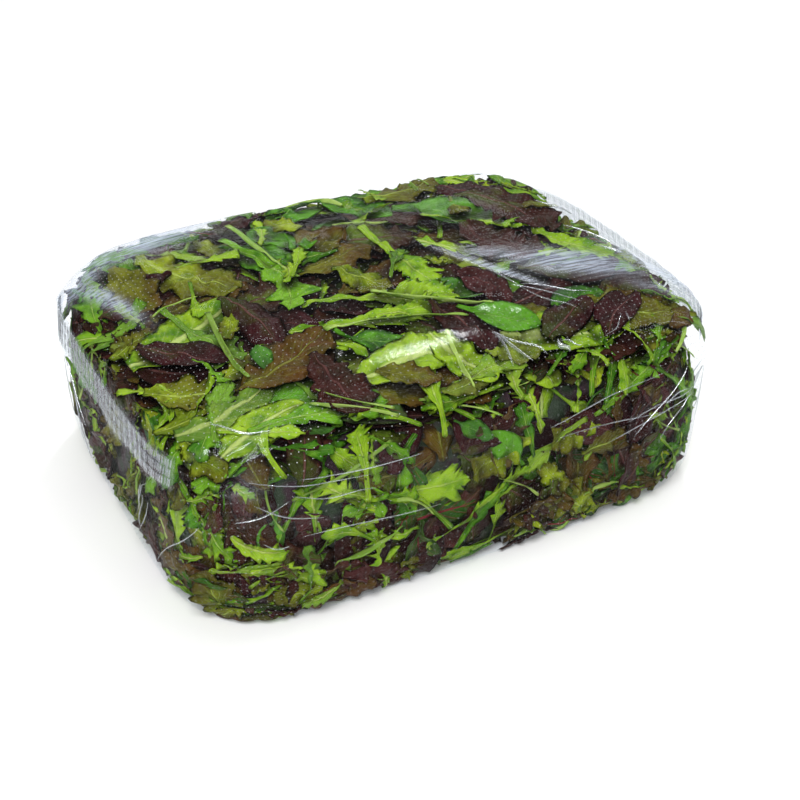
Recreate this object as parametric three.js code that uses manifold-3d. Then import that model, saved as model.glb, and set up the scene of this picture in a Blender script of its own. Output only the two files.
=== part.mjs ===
// A clear film bag packed full of mixed salad leaves, lying on its flat underside.
// Millimetres. X runs along the bag, Y across it and Z up from the middle of the underside.
// The bag is one solid: a soft box for the film, pushed out by the leaves that press against it,
// with folds where the film is slack and a crimped seal folded down along each end.
import * as THREE from "three";
import { mergeVertices } from "three/addons/utils/BufferGeometryUtils.js";
import Module from "manifold-3d";

const BODY_LENGTH = 372;
const BODY_WIDTH = 284;
const BELT_HEIGHT = 54; // where the bag is widest
const CROWN_RISE = 85; // from the belt to the middle of the top, before the leaves push it up
const BELLY_DROP = 66; // from the belt down, cut off by the flat underside

const PLAN_SQUARENESS = 5.5; // exponents of the soft box: 2 is an ellipse, more is boxier
const TOP_SQUARENESS = 5.2;
const BASE_SQUARENESS = 5.5;

const CELLS_LONG = 20;
const CELLS_WIDE = 15;
const CELLS_HIGH = 7;

const TOP_LEAVES = 46;
const SIDE_LEAVES = 54;
const TOP_SPREAD = 0.92; // shares of the half size that leaves are laid over on the top
const SIDE_HEIGHTS = [-0.45, 0.9]; // and from where to where up the sides
const LEAF_LENGTH = [52, 96];
const LEAF_STATIONS = 6; // steps from stalk to tip
const LEAF_SINK = 3.5; // its underside lies this deep in the body
const LEAF_RISE = [0.6, 3]; // of its margin over the film, from the first leaf laid to the last
const SIDE_PRESS = 0.75; // leaves at the sides are pressed this much flatter
const FLOOR_GAP = 9; // no leaf reaches lower than this
const END_SHARE = 0.84; // nor, high up, further out than this share of the half length

const BLADE_LEAN = 0.8; // exponents of the blade's outline: under 1, the lean puts the widest part
const BLADE_FULLNESS = 0.75; // nearer the stalk and the fullness makes it blunter
const STALK_SHARE = 0.08; // of the width, gone by the tip
const TIP_SHARE = 0.03;
const CREST_START = 0.15; // where the midrib's arch starts and how much of a half turn it runs
const CREST_SPAN = 0.75;

// The leaves' shapes: width over length, how far each lobe is cut in, and the dome of the blade.
const LEAF_KINDS = [
  { slenderness: 0.52, lobes: 0, dome: 2.6 }, // spinach
  { slenderness: 0.6, lobes: 0.22, dome: 3.4 }, // curled lettuce
  { slenderness: 0.4, lobes: 0.45, dome: 2 }, // rocket
  { slenderness: 0.3, lobes: 0, dome: 2.2 }, // cos
  { slenderness: 0.24, lobes: 0.55, dome: 1.6 }, // mizuna
];

const EDGE_REACH = 189.5; // the slack film at each end is drawn out to a straight edge here
const EDGE_HEIGHT = 117;
const EDGE_HALF_SPAN = 116;
const EDGE_STEPS = 12;
const EDGE_FADE = 3; // exponent of how the edge gives way to the rounded corners
const TENT_TOP = 150; // the slack film leaves the leaves on the top at this distance
const TENT_FOOT = 74; // and meets the end again at this height
const TENT_SINK = 1.5;
const TENT_ROOT = 6;

const SEAL_DROP = 23;
const SEAL_STAND = 3.4; // how far the free edge stands off the slack film
const SEAL_THICKNESS = 1.4;
const SEAL_TEETH = 26;
const TOOTH_DEPTH = 2.6;
const SEAL_RIPPLE = 1.1;
const SEAL_RIPPLE_COUNT = 4.5;
const SEAL_ROOT = 5;
const SEAL_SPAN_SHARE = 0.93; // of the straight edge

const FOLD_STEPS = 8;
const FOLD_HALF_WIDTH = 4.5;
const FOLD_SINK = 2.5;
const FOLD_HEIGHT = 2.8;
const FOLD_LEAD = 0.35; // of a step before the fold's first ring and after its last

// Folds at one corner of the bag: from and to, as shares of half the length and width, and a height.
const FOLD_PATHS = [
  [[0.97, 0.86, 112], [0.62, 0.84, 136]],
  [[0.98, 0.92, 104], [0.66, 0.98, 118]],
  [[0.99, 0.88, 92], [0.93, 0.95, 30]],
];

const FILM_COLOUR = 0x6f8f45;
const RANDOM_SEED = 20461;
const WELD = 1e-4;
const SMALLEST_EDGE = 0.2; // slivers where the leaves cross are cleared away to this

const wasm = await Module();
wasm.setup();

// A small seeded generator of shares from 0 to 1, so that the bag is the same each time.
function makeRandom(seed) {
  let state = seed >>> 0;
  return () => {
    state = (state + 0x6d2b79f5) >>> 0;
    let mixed = Math.imul(state ^ (state >>> 15), 1 | state);
    mixed = (mixed + Math.imul(mixed ^ (mixed >>> 7), 61 | mixed)) ^ mixed;
    return ((mixed ^ (mixed >>> 14)) >>> 0) / 4294967296;
  };
}

// Low-discrepancy numbers spread the leaves evenly.
function halton(index, base) {
  let result = 0;
  let fraction = 1 / base;
  for (let rest = index; rest > 0; rest = Math.floor(rest / base)) {
    result += fraction * (rest % base);
    fraction /= base;
  }
  return result;
}

const between = (range, share) => range[0] + (range[1] - range[0]) * share;
const roundedSum = (square) => (a, b) => (Math.abs(a) ** square + Math.abs(b) ** square) ** (1 / square);
const planSize = roundedSum(PLAN_SQUARENESS);
const topSize = roundedSum(TOP_SQUARENESS);
const baseSize = roundedSum(BASE_SQUARENESS);

// The soft box's point out along a ray from the middle of its belt, for any point on that ray
// given as shares of the half length, half width and rise.
function softBox(share) {
  const above = share.z >= 0;
  const size = (above ? topSize : baseSize)(planSize(share.x, share.y), share.z);
  return new THREE.Vector3(
    (share.x * BODY_LENGTH) / 2 / size,
    (share.y * BODY_WIDTH) / 2 / size,
    Math.max(0, BELT_HEIGHT + (share.z * (above ? CROWN_RISE : BELLY_DROP)) / size),
  );
}

// The same ray's shares for a point in millimetres.
function shareOf(point) {
  const height = point.z - BELT_HEIGHT;
  return new THREE.Vector3(
    point.x / (BODY_LENGTH / 2),
    point.y / (BODY_WIDTH / 2),
    height / (height >= 0 ? CROWN_RISE : BELLY_DROP),
  );
}

const ontoFilm = (point) => softBox(shareOf(point));

// The film's outward direction near a point, from three points close by on it.
function filmNormal(point) {
  const outward = point.clone().sub(new THREE.Vector3(0, 0, BELT_HEIGHT)).normalize();
  const aside = Math.abs(outward.z) > 0.7 ? new THREE.Vector3(1, 0, 0) : new THREE.Vector3(0, 0, 1);
  const first = aside.clone().cross(outward).normalize();
  const second = outward.clone().cross(first);
  const here = ontoFilm(point);
  const near = (way) => ontoFilm(here.clone().addScaledVector(way, 1)).sub(here);
  const normal = near(first).cross(near(second)).normalize();
  return normal.dot(outward) < 0 ? normal.negate() : normal;
}

// A point over the film at a height, or sunk in it where the height is below nought.
function overFilm(point, height) {
  const foot = ontoFilm(point);
  return foot.addScaledVector(filmNormal(foot), height);
}

// A closed solid from a list of corner points, three for each triangle.
function solidFromCorners(corners) {
  const loose = new THREE.BufferGeometry();
  loose.setAttribute("position", new THREE.Float32BufferAttribute(corners, 3));
  const merged = mergeVertices(loose, WELD);
  return new wasm.Manifold(
    new wasm.Mesh({
      numProp: 3,
      vertProperties: merged.attributes.position.array,
      triVerts: new Uint32Array(merged.index.array),
    }),
  );
}

// A closed solid from rings of points, each ring anticlockwise seen against the way they run.
function solidFromRings(rings) {
  const corners = [];
  const triangle = (...points) => points.forEach((point) => corners.push(...point.toArray()));
  for (let i = 0; i + 1 < rings.length; i += 1) {
    rings[i].forEach((point, k) => {
      const m = (k + 1) % rings[i].length;
      triangle(point, rings[i][m], rings[i + 1][m]);
      triangle(point, rings[i + 1][m], rings[i + 1][k]);
    });
  }
  const last = rings[rings.length - 1];
  for (let k = 1; k + 1 < last.length; k += 1) {
    triangle(rings[0][0], rings[0][k + 1], rings[0][k]);
    triangle(last[0], last[k], last[k + 1]);
  }
  const solid = solidFromCorners(corners);
  return solid.volume() < 0 ? solidFromRings(rings.map((ring) => [...ring].reverse())) : solid;
}

// The film without its leaves: a gridded cube drawn out to the soft box, with a flat underside.
function bodySolid() {
  const grid = new THREE.BoxGeometry(2, 2, 2, CELLS_LONG, CELLS_WIDE, CELLS_HIGH).toNonIndexed();
  const place = grid.attributes.position;
  const corners = [];
  for (let i = 0; i < place.count; i += 1) {
    corners.push(...softBox(new THREE.Vector3().fromBufferAttribute(place, i)).toArray());
  }
  return solidFromCorners(corners);
}

// Half a leaf's width at a share of the way from its stalk to its tip.
function halfWidth(kind, share, station) {
  const blade = Math.sin(Math.PI * share ** BLADE_LEAN) ** BLADE_FULLNESS;
  const stalk = STALK_SHARE * (1 - share);
  const cut = station % 2 ? 1 : 1 - kind.lobes;
  return (blade * cut + stalk + TIP_SHARE) * (kind.slenderness / 2);
}

// One leaf that presses on the film: a domed blade with a raised midrib, bent round the body.
function leafSolid(centre, heading, kind, length, rise, press) {
  const normal = filmNormal(centre);
  const aside = Math.abs(normal.z) > 0.8 ? new THREE.Vector3(1, 0, 0) : new THREE.Vector3(0, 0, 1);
  const along = aside.projectOnPlane(normal).normalize().applyAxisAngle(normal, heading);
  const side = normal.clone().cross(along);
  const rings = [];
  for (let i = 0; i <= LEAF_STATIONS; i += 1) {
    const share = i / LEAF_STATIONS;
    const half = halfWidth(kind, share, i) * length;
    const arch = Math.sin(Math.PI * (CREST_START + CREST_SPAN * share));
    const crest = rise + kind.dome * press * arch;
    const spot = (across) => centre.clone()
      .addScaledVector(along, (share - 0.5) * length)
      .addScaledVector(side, across);
    rings.push([
      overFilm(spot(-half), rise),
      overFilm(spot(0), crest),
      overFilm(spot(half), rise),
      overFilm(spot(half), -LEAF_SINK),
      overFilm(spot(-half), -LEAF_SINK),
    ]);
  }
  return keepsClear(rings.flat()) ? solidFromRings(rings) : null;
}

// True for points that stay off the underside and off the slack film over each end.
function keepsClear(points) {
  const low = (point) => point.z < TENT_FOOT - SEAL_DROP / 2;
  const inner = (point) => Math.abs(point.x) < (END_SHARE * BODY_LENGTH) / 2;
  return points.every((point) => point.z > FLOOR_GAP && (low(point) || inner(point)));
}

// A spot for a leaf on the top, spread evenly.
function topSpot(index) {
  const across = (base) => between([-TOP_SPREAD, TOP_SPREAD], halton(index, base));
  return new THREE.Vector3(across(2), across(3), 1);
}

// A spot for a leaf on the sides, spread evenly round the bag.
function sideSpot(index) {
  const halfRound = BODY_LENGTH + BODY_WIDTH;
  const turn = halton(index, 2) * 2 * halfRound;
  const sign = turn < halfRound ? 1 : -1;
  const way = turn % halfRound;
  const height = between(SIDE_HEIGHTS, halton(index, 3));
  return way < BODY_LENGTH
    ? new THREE.Vector3((way / BODY_LENGTH) * 2 - 1, sign, height)
    : new THREE.Vector3(sign, ((way - BODY_LENGTH) / BODY_WIDTH) * 2 - 1, height);
}

function leafSolids(random) {
  const solids = [];
  const scatter = (count, spotOf, press) => {
    for (let i = 1; i <= count; i += 1) {
      const kind = LEAF_KINDS[Math.floor(random() * LEAF_KINDS.length)];
      const heading = random() * Math.PI * 2;
      const length = between(LEAF_LENGTH, random());
      const rise = between(LEAF_RISE, i / count) * press;
      solids.push(leafSolid(softBox(spotOf(i)), heading, kind, length, rise, press));
    }
  };
  scatter(SIDE_LEAVES, sideSpot, SIDE_PRESS);
  scatter(TOP_LEAVES, topSpot, 1);
  return solids.filter(Boolean);
}

// A fold of slack film: a low crease that runs over the film from one spot to another.
function foldSolid(from, to) {
  const feet = [];
  for (let i = 0; i <= FOLD_STEPS; i += 1) {
    feet.push(ontoFilm(new THREE.Vector3().lerpVectors(from, to, i / FOLD_STEPS)));
  }
  const rings = feet.map((foot, i) => {
    const before = feet[Math.max(0, i - 1)];
    const after = feet[Math.min(FOLD_STEPS, i + 1)];
    const across = after.clone().sub(before).cross(filmNormal(foot)).normalize();
    const swell = Math.sin((Math.PI * (i + FOLD_LEAD)) / (FOLD_STEPS + 2 * FOLD_LEAD));
    const edge = (side) => foot.clone().addScaledVector(across, side * FOLD_HALF_WIDTH * swell);
    return [
      overFilm(edge(1), -FOLD_SINK),
      overFilm(foot, FOLD_HEIGHT * swell - FOLD_SINK * (1 - swell)),
      overFilm(edge(-1), -FOLD_SINK),
    ];
  });
  return solidFromRings(rings);
}

// Folds fan out from the ends of each straight edge over the corners of the bag.
function foldSolids() {
  const corners = [[-1, -1], [-1, 1], [1, -1], [1, 1]];
  return corners.flatMap(([end, flank]) => FOLD_PATHS.map((path) => {
    const [from, to] = path.map(([x, y, z]) => new THREE.Vector3(
      (x * end * BODY_LENGTH) / 2, (y * flank * BODY_WIDTH) / 2, z,
    ));
    return foldSolid(from, to);
  }));
}

// How much of the straight edge is left at a distance along it: all of it in the middle.
const edgeShare = (across) => 1 - Math.abs(across / EDGE_HALF_SPAN) ** EDGE_FADE;

// A point of the straight edge, on its way to the rounded film where the edge gives way.
function edgePoint(end, across) {
  const tip = new THREE.Vector3(EDGE_REACH * end, across, EDGE_HEIGHT);
  return ontoFilm(tip).lerp(tip, edgeShare(across));
}

// The slack film at one end: a tent from the leaves on the top out to the edge and down again.
function tentSolid(end) {
  const rings = [];
  for (let i = 0; i <= EDGE_STEPS; i += 1) {
    const across = ((i / EDGE_STEPS) * 2 - 1) * EDGE_HALF_SPAN;
    rings.push([
      overFilm(new THREE.Vector3(TENT_TOP * end, across, BELT_HEIGHT + CROWN_RISE), -TENT_SINK),
      edgePoint(end, across),
      overFilm(new THREE.Vector3(EDGE_REACH * end, across, TENT_FOOT), -TENT_SINK),
      overFilm(new THREE.Vector3(EDGE_REACH * end, across, EDGE_HEIGHT), -TENT_ROOT),
    ]);
  }
  return solidFromRings(rings);
}

// A crimped seal: a thin band that hangs from the edge, with a zigzag free edge.
function sealSolid(end) {
  const steps = SEAL_TEETH * 2;
  const rings = [];
  for (let i = 0; i <= steps; i += 1) {
    const share = (i / steps) * 2 - 1;
    const edge = edgePoint(end, share * EDGE_HALF_SPAN * SEAL_SPAN_SHARE);
    const tooth = i % 2 ? TOOTH_DEPTH : 0;
    const stand = SEAL_STAND + SEAL_RIPPLE * Math.sin(share * Math.PI * SEAL_RIPPLE_COUNT);
    const at = (out, down) => edge.clone().add(new THREE.Vector3(out * end, 0, -down));
    rings.push([
      at(SEAL_THICKNESS / 2, -SEAL_THICKNESS / 2),
      at(stand, SEAL_DROP - tooth),
      at(stand - SEAL_THICKNESS, SEAL_DROP - tooth),
      at(-SEAL_ROOT, SEAL_ROOT),
    ]);
  }
  return solidFromRings(rings);
}

function meshFromSolid(solid, name, material) {
  const made = solid.getMesh();
  const geometry = new THREE.BufferGeometry();
  geometry.setAttribute("position", new THREE.BufferAttribute(made.vertProperties, 3));
  geometry.setIndex(new THREE.BufferAttribute(made.triVerts, 1));
  geometry.computeVertexNormals();
  const mesh = new THREE.Mesh(geometry, material);
  mesh.name = name;
  return mesh;
}

const film = new THREE.MeshStandardMaterial({
  color: FILM_COLOUR,
  roughness: 0.25,
  metalness: 0,
});

const bag = wasm.Manifold.union([
  bodySolid(),
  ...leafSolids(makeRandom(RANDOM_SEED)),
  ...foldSolids(),
  ...[1, -1].flatMap((end) => [tentSolid(end), sealSolid(end)]),
]).simplify(SMALLEST_EDGE);

const box = bag.boundingBox();
const middle = [0, 1].map((k) => -(box.min[k] + box.max[k]) / 2);

const saladBag = new THREE.Group();
saladBag.add(meshFromSolid(bag.translate([...middle, -box.min[2]]), "salad_bag", film));

export default saladBag;
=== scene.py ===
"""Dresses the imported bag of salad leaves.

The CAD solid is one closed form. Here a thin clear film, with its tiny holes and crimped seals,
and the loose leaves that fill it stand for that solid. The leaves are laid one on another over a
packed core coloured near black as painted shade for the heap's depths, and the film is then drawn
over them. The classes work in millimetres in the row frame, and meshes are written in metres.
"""

import logging
import math
from dataclasses import dataclass, field
from enum import Enum

import bpy
import numpy as np
from mathutils import Matrix, Vector


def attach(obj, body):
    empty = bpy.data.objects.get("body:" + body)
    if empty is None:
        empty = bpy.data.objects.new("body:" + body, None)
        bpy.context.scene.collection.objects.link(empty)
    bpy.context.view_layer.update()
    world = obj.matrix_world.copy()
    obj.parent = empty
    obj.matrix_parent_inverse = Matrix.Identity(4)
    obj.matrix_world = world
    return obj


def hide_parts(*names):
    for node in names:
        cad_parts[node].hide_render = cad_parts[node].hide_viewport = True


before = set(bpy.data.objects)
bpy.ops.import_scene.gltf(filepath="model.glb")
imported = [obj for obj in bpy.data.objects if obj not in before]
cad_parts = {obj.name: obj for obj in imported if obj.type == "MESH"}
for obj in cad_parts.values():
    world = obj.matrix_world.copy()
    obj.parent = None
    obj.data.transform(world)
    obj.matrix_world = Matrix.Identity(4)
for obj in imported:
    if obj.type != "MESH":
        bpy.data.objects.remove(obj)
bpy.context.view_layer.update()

MM = 0.001
BODY = "root"
NODE = "salad_bag"
TINY = 1e-6
DOWN = np.array((0.0, 0.0, -1.0))
EAST = np.array((1.0, 0.0, 0.0))
UP = np.array((0.0, 0.0, 1.0))
log = logging.getLogger("salad_bag")

Colour = tuple[float, float, float]
Place = tuple[float, float, float]
Pixel = tuple[float, float]
Socket = bpy.types.NodeSocket
Paint = Colour | Socket


def smooth(values: np.ndarray, low: float, high: float) -> np.ndarray:
    """A soft step from 0 at low to 1 at high.

    Args:
        values: Numbers of any shape.
        low: Where the step starts.
        high: Where it ends. It may lie below low for a falling step.

    Returns:
        Shares from 0 to 1 of the same shape.
    """
    share = np.clip((values - low) / (high - low), 0.0, 1.0)
    return share * share * (3.0 - 2.0 * share)


def unit(vectors: np.ndarray) -> np.ndarray:
    """Vectors of length one in the same directions."""
    return vectors / np.maximum(np.linalg.norm(vectors, axis=-1, keepdims=True), 1e-9)


def mesh_object(name: str, points: np.ndarray, faces: np.ndarray) -> bpy.types.Object:
    """A mesh object at the origin from points in millimetres.

    Args:
        name: The piece's name.
        points: Corners, one row each.
        faces: Corner numbers, three or four to a row.

    Returns:
        The object, linked to the scene and smooth shaded.
    """
    mesh = bpy.data.meshes.new(name)
    sides = faces.shape[1]
    mesh.vertices.add(len(points))
    mesh.vertices.foreach_set("co", (points * MM).astype(np.float32).ravel())
    mesh.loops.add(faces.size)
    mesh.loops.foreach_set("vertex_index", faces.astype(np.int32).ravel())
    mesh.polygons.add(len(faces))
    mesh.polygons.foreach_set("loop_start", np.arange(0, faces.size, sides, dtype=np.int32))
    mesh.update(calc_edges=True)
    mesh.polygons.foreach_set("use_smooth", np.ones(len(faces), dtype=bool))
    thing = bpy.data.objects.new(name, mesh)
    bpy.context.scene.collection.objects.link(thing)
    return thing


def add_attribute(thing: bpy.types.Object, name: str, values: np.ndarray) -> None:
    """Stores one number or vector for each corner point of a mesh.

    Args:
        thing: The mesh object.
        name: The attribute's name.
        values: One number, or one row of three, for each point.
    """
    kind, key = ("FLOAT", "value") if values.ndim == 1 else ("FLOAT_VECTOR", "vector")
    layer = thing.data.attributes.new(name, kind, "POINT")
    layer.data.foreach_set(key, values.astype(np.float32).ravel())


class Value:
    """A number that varies over a surface, whose arithmetic adds Math nodes."""

    def __init__(self, tree: "ShaderTree", socket: Socket) -> None:
        """Wraps a socket of a tree."""
        self.tree = tree
        self.socket = socket

    def __add__(self, other: "Value | float") -> "Value":
        """The sum."""
        return self.tree.math("ADD", self, other)

    def __sub__(self, other: "Value | float") -> "Value":
        """The difference."""
        return self.tree.math("SUBTRACT", self, other)

    def __rsub__(self, other: float) -> "Value":
        """A number less this one."""
        return self.tree.math("SUBTRACT", other, self)

    def __mul__(self, other: "Value | float") -> "Value":
        """The product."""
        return self.tree.math("MULTIPLY", self, other)

    def __truediv__(self, other: "Value | float") -> "Value":
        """The quotient."""
        return self.tree.math("DIVIDE", self, other)

    def __pow__(self, other: float) -> "Value":
        """This number raised to a power."""
        return self.tree.math("POWER", self, other)

    def __abs__(self) -> "Value":
        """Its size without its sign."""
        return self.tree.math("ABSOLUTE", self)

    __radd__ = __add__
    __rmul__ = __mul__

    def wave(self) -> "Value":
        """A sine of it, from 0 to 1."""
        return self.tree.math("SINE", self) * 0.5 + 0.5

    def capped(self, most: float) -> "Value":
        """It, but no more than this."""
        return self.tree.math("MINIMUM", self, most)

    def step(self, low: float, high: float) -> "Value":
        """A soft step from 0 to 1.

        Args:
            low: Where the step starts.
            high: Where it ends.

        Returns:
            The step.
        """
        ranged = self.tree.node(
            "ShaderNodeMapRange",
            {"interpolation_type": "SMOOTHSTEP"},
            {"Value": self, "From Min": low, "From Max": high},
        )
        return Value(self.tree, ranged.outputs["Result"])


class NodeTree:
    """A node tree in the making."""

    def __init__(self, tree: bpy.types.NodeTree) -> None:
        """Takes a tree and empties it."""
        self.nodes, self.links = tree.nodes, tree.links
        self.nodes.clear()

    def node(self, kind: str, settings: dict | None = None,
             inputs: dict | None = None) -> bpy.types.Node:
        """Adds one node.

        Args:
            kind: The node's type.
            settings: Its properties, set before its sockets.
            inputs: Values, or links, for its sockets by name or number.

        Returns:
            The node.
        """
        made = self.nodes.new(kind)
        for name, setting in (settings or {}).items():
            setattr(made, name, setting)
        for key, given in (inputs or {}).items():
            socket = made.inputs[key]
            source = given.socket if isinstance(given, Value) else given
            if isinstance(source, Socket):
                self.links.new(source, socket)
            else:
                socket.default_value = source
        return made


class ShaderTree(NodeTree):
    """The node tree of one new material, filled by expressions."""

    def __init__(self, name: str) -> None:
        """Starts a material with an empty tree.

        Args:
            name: The material's name.
        """
        self.material = bpy.data.materials.new(name)
        self.material.use_nodes = True
        super().__init__(self.material.node_tree)

    def math(self, operation: str, *terms: Value | float) -> Value:
        """A Math node of one or two terms."""
        made = self.node("ShaderNodeMath", {"operation": operation}, dict(enumerate(terms)))
        return Value(self, made.outputs[0])

    def attribute(self, name: str) -> Value:
        """The mesh's own number of this name."""
        made = self.node("ShaderNodeAttribute", {"attribute_name": name})
        return Value(self, made.outputs["Fac"])

    def along_across(self) -> tuple[Value, Value]:
        """The UV map's two numbers.

        Returns:
            How far along the leaf and how far across it.
        """
        mapped = self.node("ShaderNodeUVMap", {"uv_map": "UVMap"})
        parts = self.node("ShaderNodeSeparateXYZ", {}, {0: mapped.outputs[0]})
        return Value(self, parts.outputs[0]), Value(self, parts.outputs[1])

    def place(self) -> Socket:
        """The point on the piece, in metres."""
        return self.node("ShaderNodeTexCoord").outputs["Object"]

    def noise(self, scale: float, detail: float = 2.0, roughness: float = 0.5,
              place: Socket | None = None) -> Value:
        """Soft noise over the piece, from about 0 to 1.

        Args:
            scale: Blotches to a metre.
            detail: Octaves.
            roughness: How strong each finer octave is.
            place: Where the noise is read, or None for the point on the piece.

        Returns:
            The noise.
        """
        where = self.place() if place is None else place
        made = self.node(
            "ShaderNodeTexNoise",
            {},
            {"Vector": where, "Scale": scale, "Detail": detail, "Roughness": roughness},
        )
        return Value(self, made.outputs[0])

    def drawn_noise(self, turn: float, scale: float, stretch: float) -> Value:
        """Noise drawn out into streaks over the top of the piece.

        Args:
            turn: How far the streaks are turned from the X axis towards -Y, in degrees.
            scale: Streaks to a metre along their length.
            stretch: How many times finer they are across.

        Returns:
            The noise, from about 0 to 1.
        """
        mapped = self.node(
            "ShaderNodeMapping",
            {},
            {"Vector": self.place(), "Rotation": (0.0, 0.0, math.radians(turn)),
             "Scale": (1.0, stretch, stretch)},
        )
        return self.noise(scale, 6.0, 0.6, mapped.outputs[0])

    def mix(self, share: Value | float, first: Paint, second: Paint) -> Socket:
        """A colour between two colours.

        Args:
            share: 0 gives the first colour and 1 the second.
            first: A colour or a socket that carries one.
            second: The other.

        Returns:
            The mixed colour's socket.
        """
        def opaque(colour: Paint) -> tuple | Socket:
            """A plain colour with its alpha, or a socket as it is."""
            return (*colour, 1.0) if isinstance(colour, tuple) else colour

        made = self.node(
            "ShaderNodeMix",
            {"data_type": "RGBA"},
            {0: share, 6: opaque(first), 7: opaque(second)},
        )
        return made.outputs[2]

    def bump(self, height: Value, distance: float) -> Socket:
        """A normal that a height tilts.

        Args:
            height: Shares of the distance.
            distance: The relief in millimetres.

        Returns:
            The normal's socket.
        """
        made = self.node(
            "ShaderNodeBump",
            {},
            {"Height": height, "Distance": distance * MM, "Strength": 1.0},
        )
        return made.outputs[0]

    def coat(self, inputs: dict) -> Socket:
        """A Principled shader with these values and links."""
        return self.node("ShaderNodeBsdfPrincipled", {}, inputs).outputs[0]

    def finish(self, shader: Socket) -> bpy.types.Material:
        """Joins the shader to the output and gives the material."""
        self.node("ShaderNodeOutputMaterial", {}, {"Surface": shader})
        return self.material


@dataclass(frozen=True)
class SoftBox:
    """The bag's rounded box, with the sizes that the solid has.

    A direction from the middle of the belt is given in shares of the half length, half width and
    rise or drop. Its unit share lies on the skin.
    """

    length: float = 372.0
    width: float = 284.0
    belt: float = 54.0
    rise: float = 85.0
    drop: float = 66.0
    plan_power: float = 5.5
    top_power: float = 5.2
    base_power: float = 5.5
    rim_blend: float = 8.0

    def heights(self, shares: np.ndarray) -> np.ndarray:
        """The rise for each share above the belt and the drop for each below it."""
        return np.where(shares[..., 2] >= 0, self.rise, self.drop)

    def powers(self, shares: np.ndarray) -> np.ndarray:
        """How square the sides are at each share, above the belt and below it."""
        return np.where(shares[..., 2] >= 0, self.top_power, self.base_power)

    def plan(self, sizes: np.ndarray) -> np.ndarray:
        """How far out sizes reach in the plan, where 1 is its outline."""
        total = sizes[..., 0] ** self.plan_power + sizes[..., 1] ** self.plan_power
        return total ** (1 / self.plan_power)

    def shares(self, points: np.ndarray) -> np.ndarray:
        """The shares of points.

        Args:
            points: In millimetres, with any shape before the last axis.

        Returns:
            Their shares, of the same shape.
        """
        lifted = points - np.array((0.0, 0.0, self.belt))
        half = np.stack(
            (
                np.full(points.shape[:-1], self.length / 2),
                np.full(points.shape[:-1], self.width / 2),
                self.heights(lifted),
            ),
            axis=-1,
        )
        return lifted / half

    def onto_skin(self, shares: np.ndarray) -> np.ndarray:
        """Unit shares on the same rays.

        Args:
            shares: Any shares but nought.

        Returns:
            Shares that lie on the skin.
        """
        sizes = np.abs(shares) + TINY
        power = self.powers(shares)
        size = (self.plan(sizes) ** power + sizes[..., 2] ** power) ** (1 / power)
        return shares / size[..., None]

    def points(self, units: np.ndarray) -> np.ndarray:
        """The skin's points, with the underside flat at nought.

        Args:
            units: Unit shares.

        Returns:
            Points in millimetres.
        """
        raised = self.belt + units[..., 2] * self.heights(units)
        return np.stack(
            (
                units[..., 0] * self.length / 2,
                units[..., 1] * self.width / 2,
                np.maximum(raised, 0.0),
            ),
            axis=-1,
        )

    def normals(self, units: np.ndarray) -> np.ndarray:
        """The skin's outward directions, straight down on the flat underside.

        Args:
            units: Unit shares.

        Returns:
            Directions of length one.
        """
        sizes = np.abs(units) + TINY
        signs = np.sign(units)
        power = self.powers(units)
        across = self.plan(sizes) ** (power - self.plan_power)
        slope = np.stack(
            (
                across * sizes[..., 0] ** (self.plan_power - 1) * signs[..., 0] * 2 / self.length,
                across * sizes[..., 1] ** (self.plan_power - 1) * signs[..., 1] * 2 / self.width,
                sizes[..., 2] ** (power - 1) * signs[..., 2] / self.heights(units),
            ),
            axis=-1,
        )
        raised = self.belt + units[..., 2] * self.heights(units)
        free = smooth(raised, 0.0, self.rim_blend)[..., None]
        return unit(unit(slope) * free + DOWN * (1 - free))


@dataclass(frozen=True)
class EndTent:
    """The slack film at each end, drawn out over the box to a straight edge."""

    box: SoftBox
    reach: float = 189.5
    height: float = 117.0
    half_span: float = 116.0
    fade: float = 3.0
    head: float = 150.0
    foot: float = 74.0
    most: float = 26.0
    onset: float = 120.0
    least_facing: float = 0.1

    def share(self, y: np.ndarray) -> np.ndarray:
        """How much of the straight edge is left at a distance along it."""
        return np.clip(1 - np.abs(y / self.half_span) ** self.fade, 0.0, 1.0)

    def lift(self, skin: np.ndarray, normals: np.ndarray) -> np.ndarray:
        """How far the tent stands out of the box.

        Args:
            skin: Points on the box.
            normals: The box's directions there.

        Returns:
            Millimetres along each normal, nought away from the ends.
        """
        x, z = np.abs(skin[..., 0]), skin[..., 2]
        nx, nz = np.abs(normals[..., 0]), normals[..., 2]
        probe = np.array([[self.head / (self.box.length / 2), 0.0, 1.0],
                          [1.0, 0.0, (self.foot - self.box.belt) / self.box.rise]])
        top, bottom = self.box.points(self.box.onto_skin(probe))
        apex = np.array((self.reach, 0.0, self.height))
        no_lift = -9.0

        def away(a: np.ndarray, b: np.ndarray) -> np.ndarray:
            """How far each point is from a plane, along its normal.

            Args:
                a: One point of the plane.
                b: Another.

            Returns:
                Millimetres, or no lift where the normal hardly meets the plane.
            """
            out = np.array((b[2] - a[2], a[0] - b[0]))
            out = -out if out.sum() < 0 else out
            over = out[0] * (a[0] - x) + out[1] * (a[2] - z)
            facing = out[0] * nx + out[1] * nz
            small = self.least_facing * float(np.linalg.norm(out))
            return np.where(facing > small, over / np.maximum(facing, TINY), no_lift)

        lift = np.minimum(away(top, apex), away(apex, bottom))
        near = smooth(x, self.onset, self.head)
        return np.clip(lift, 0.0, self.most) * self.share(skin[..., 1]) * near


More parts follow.
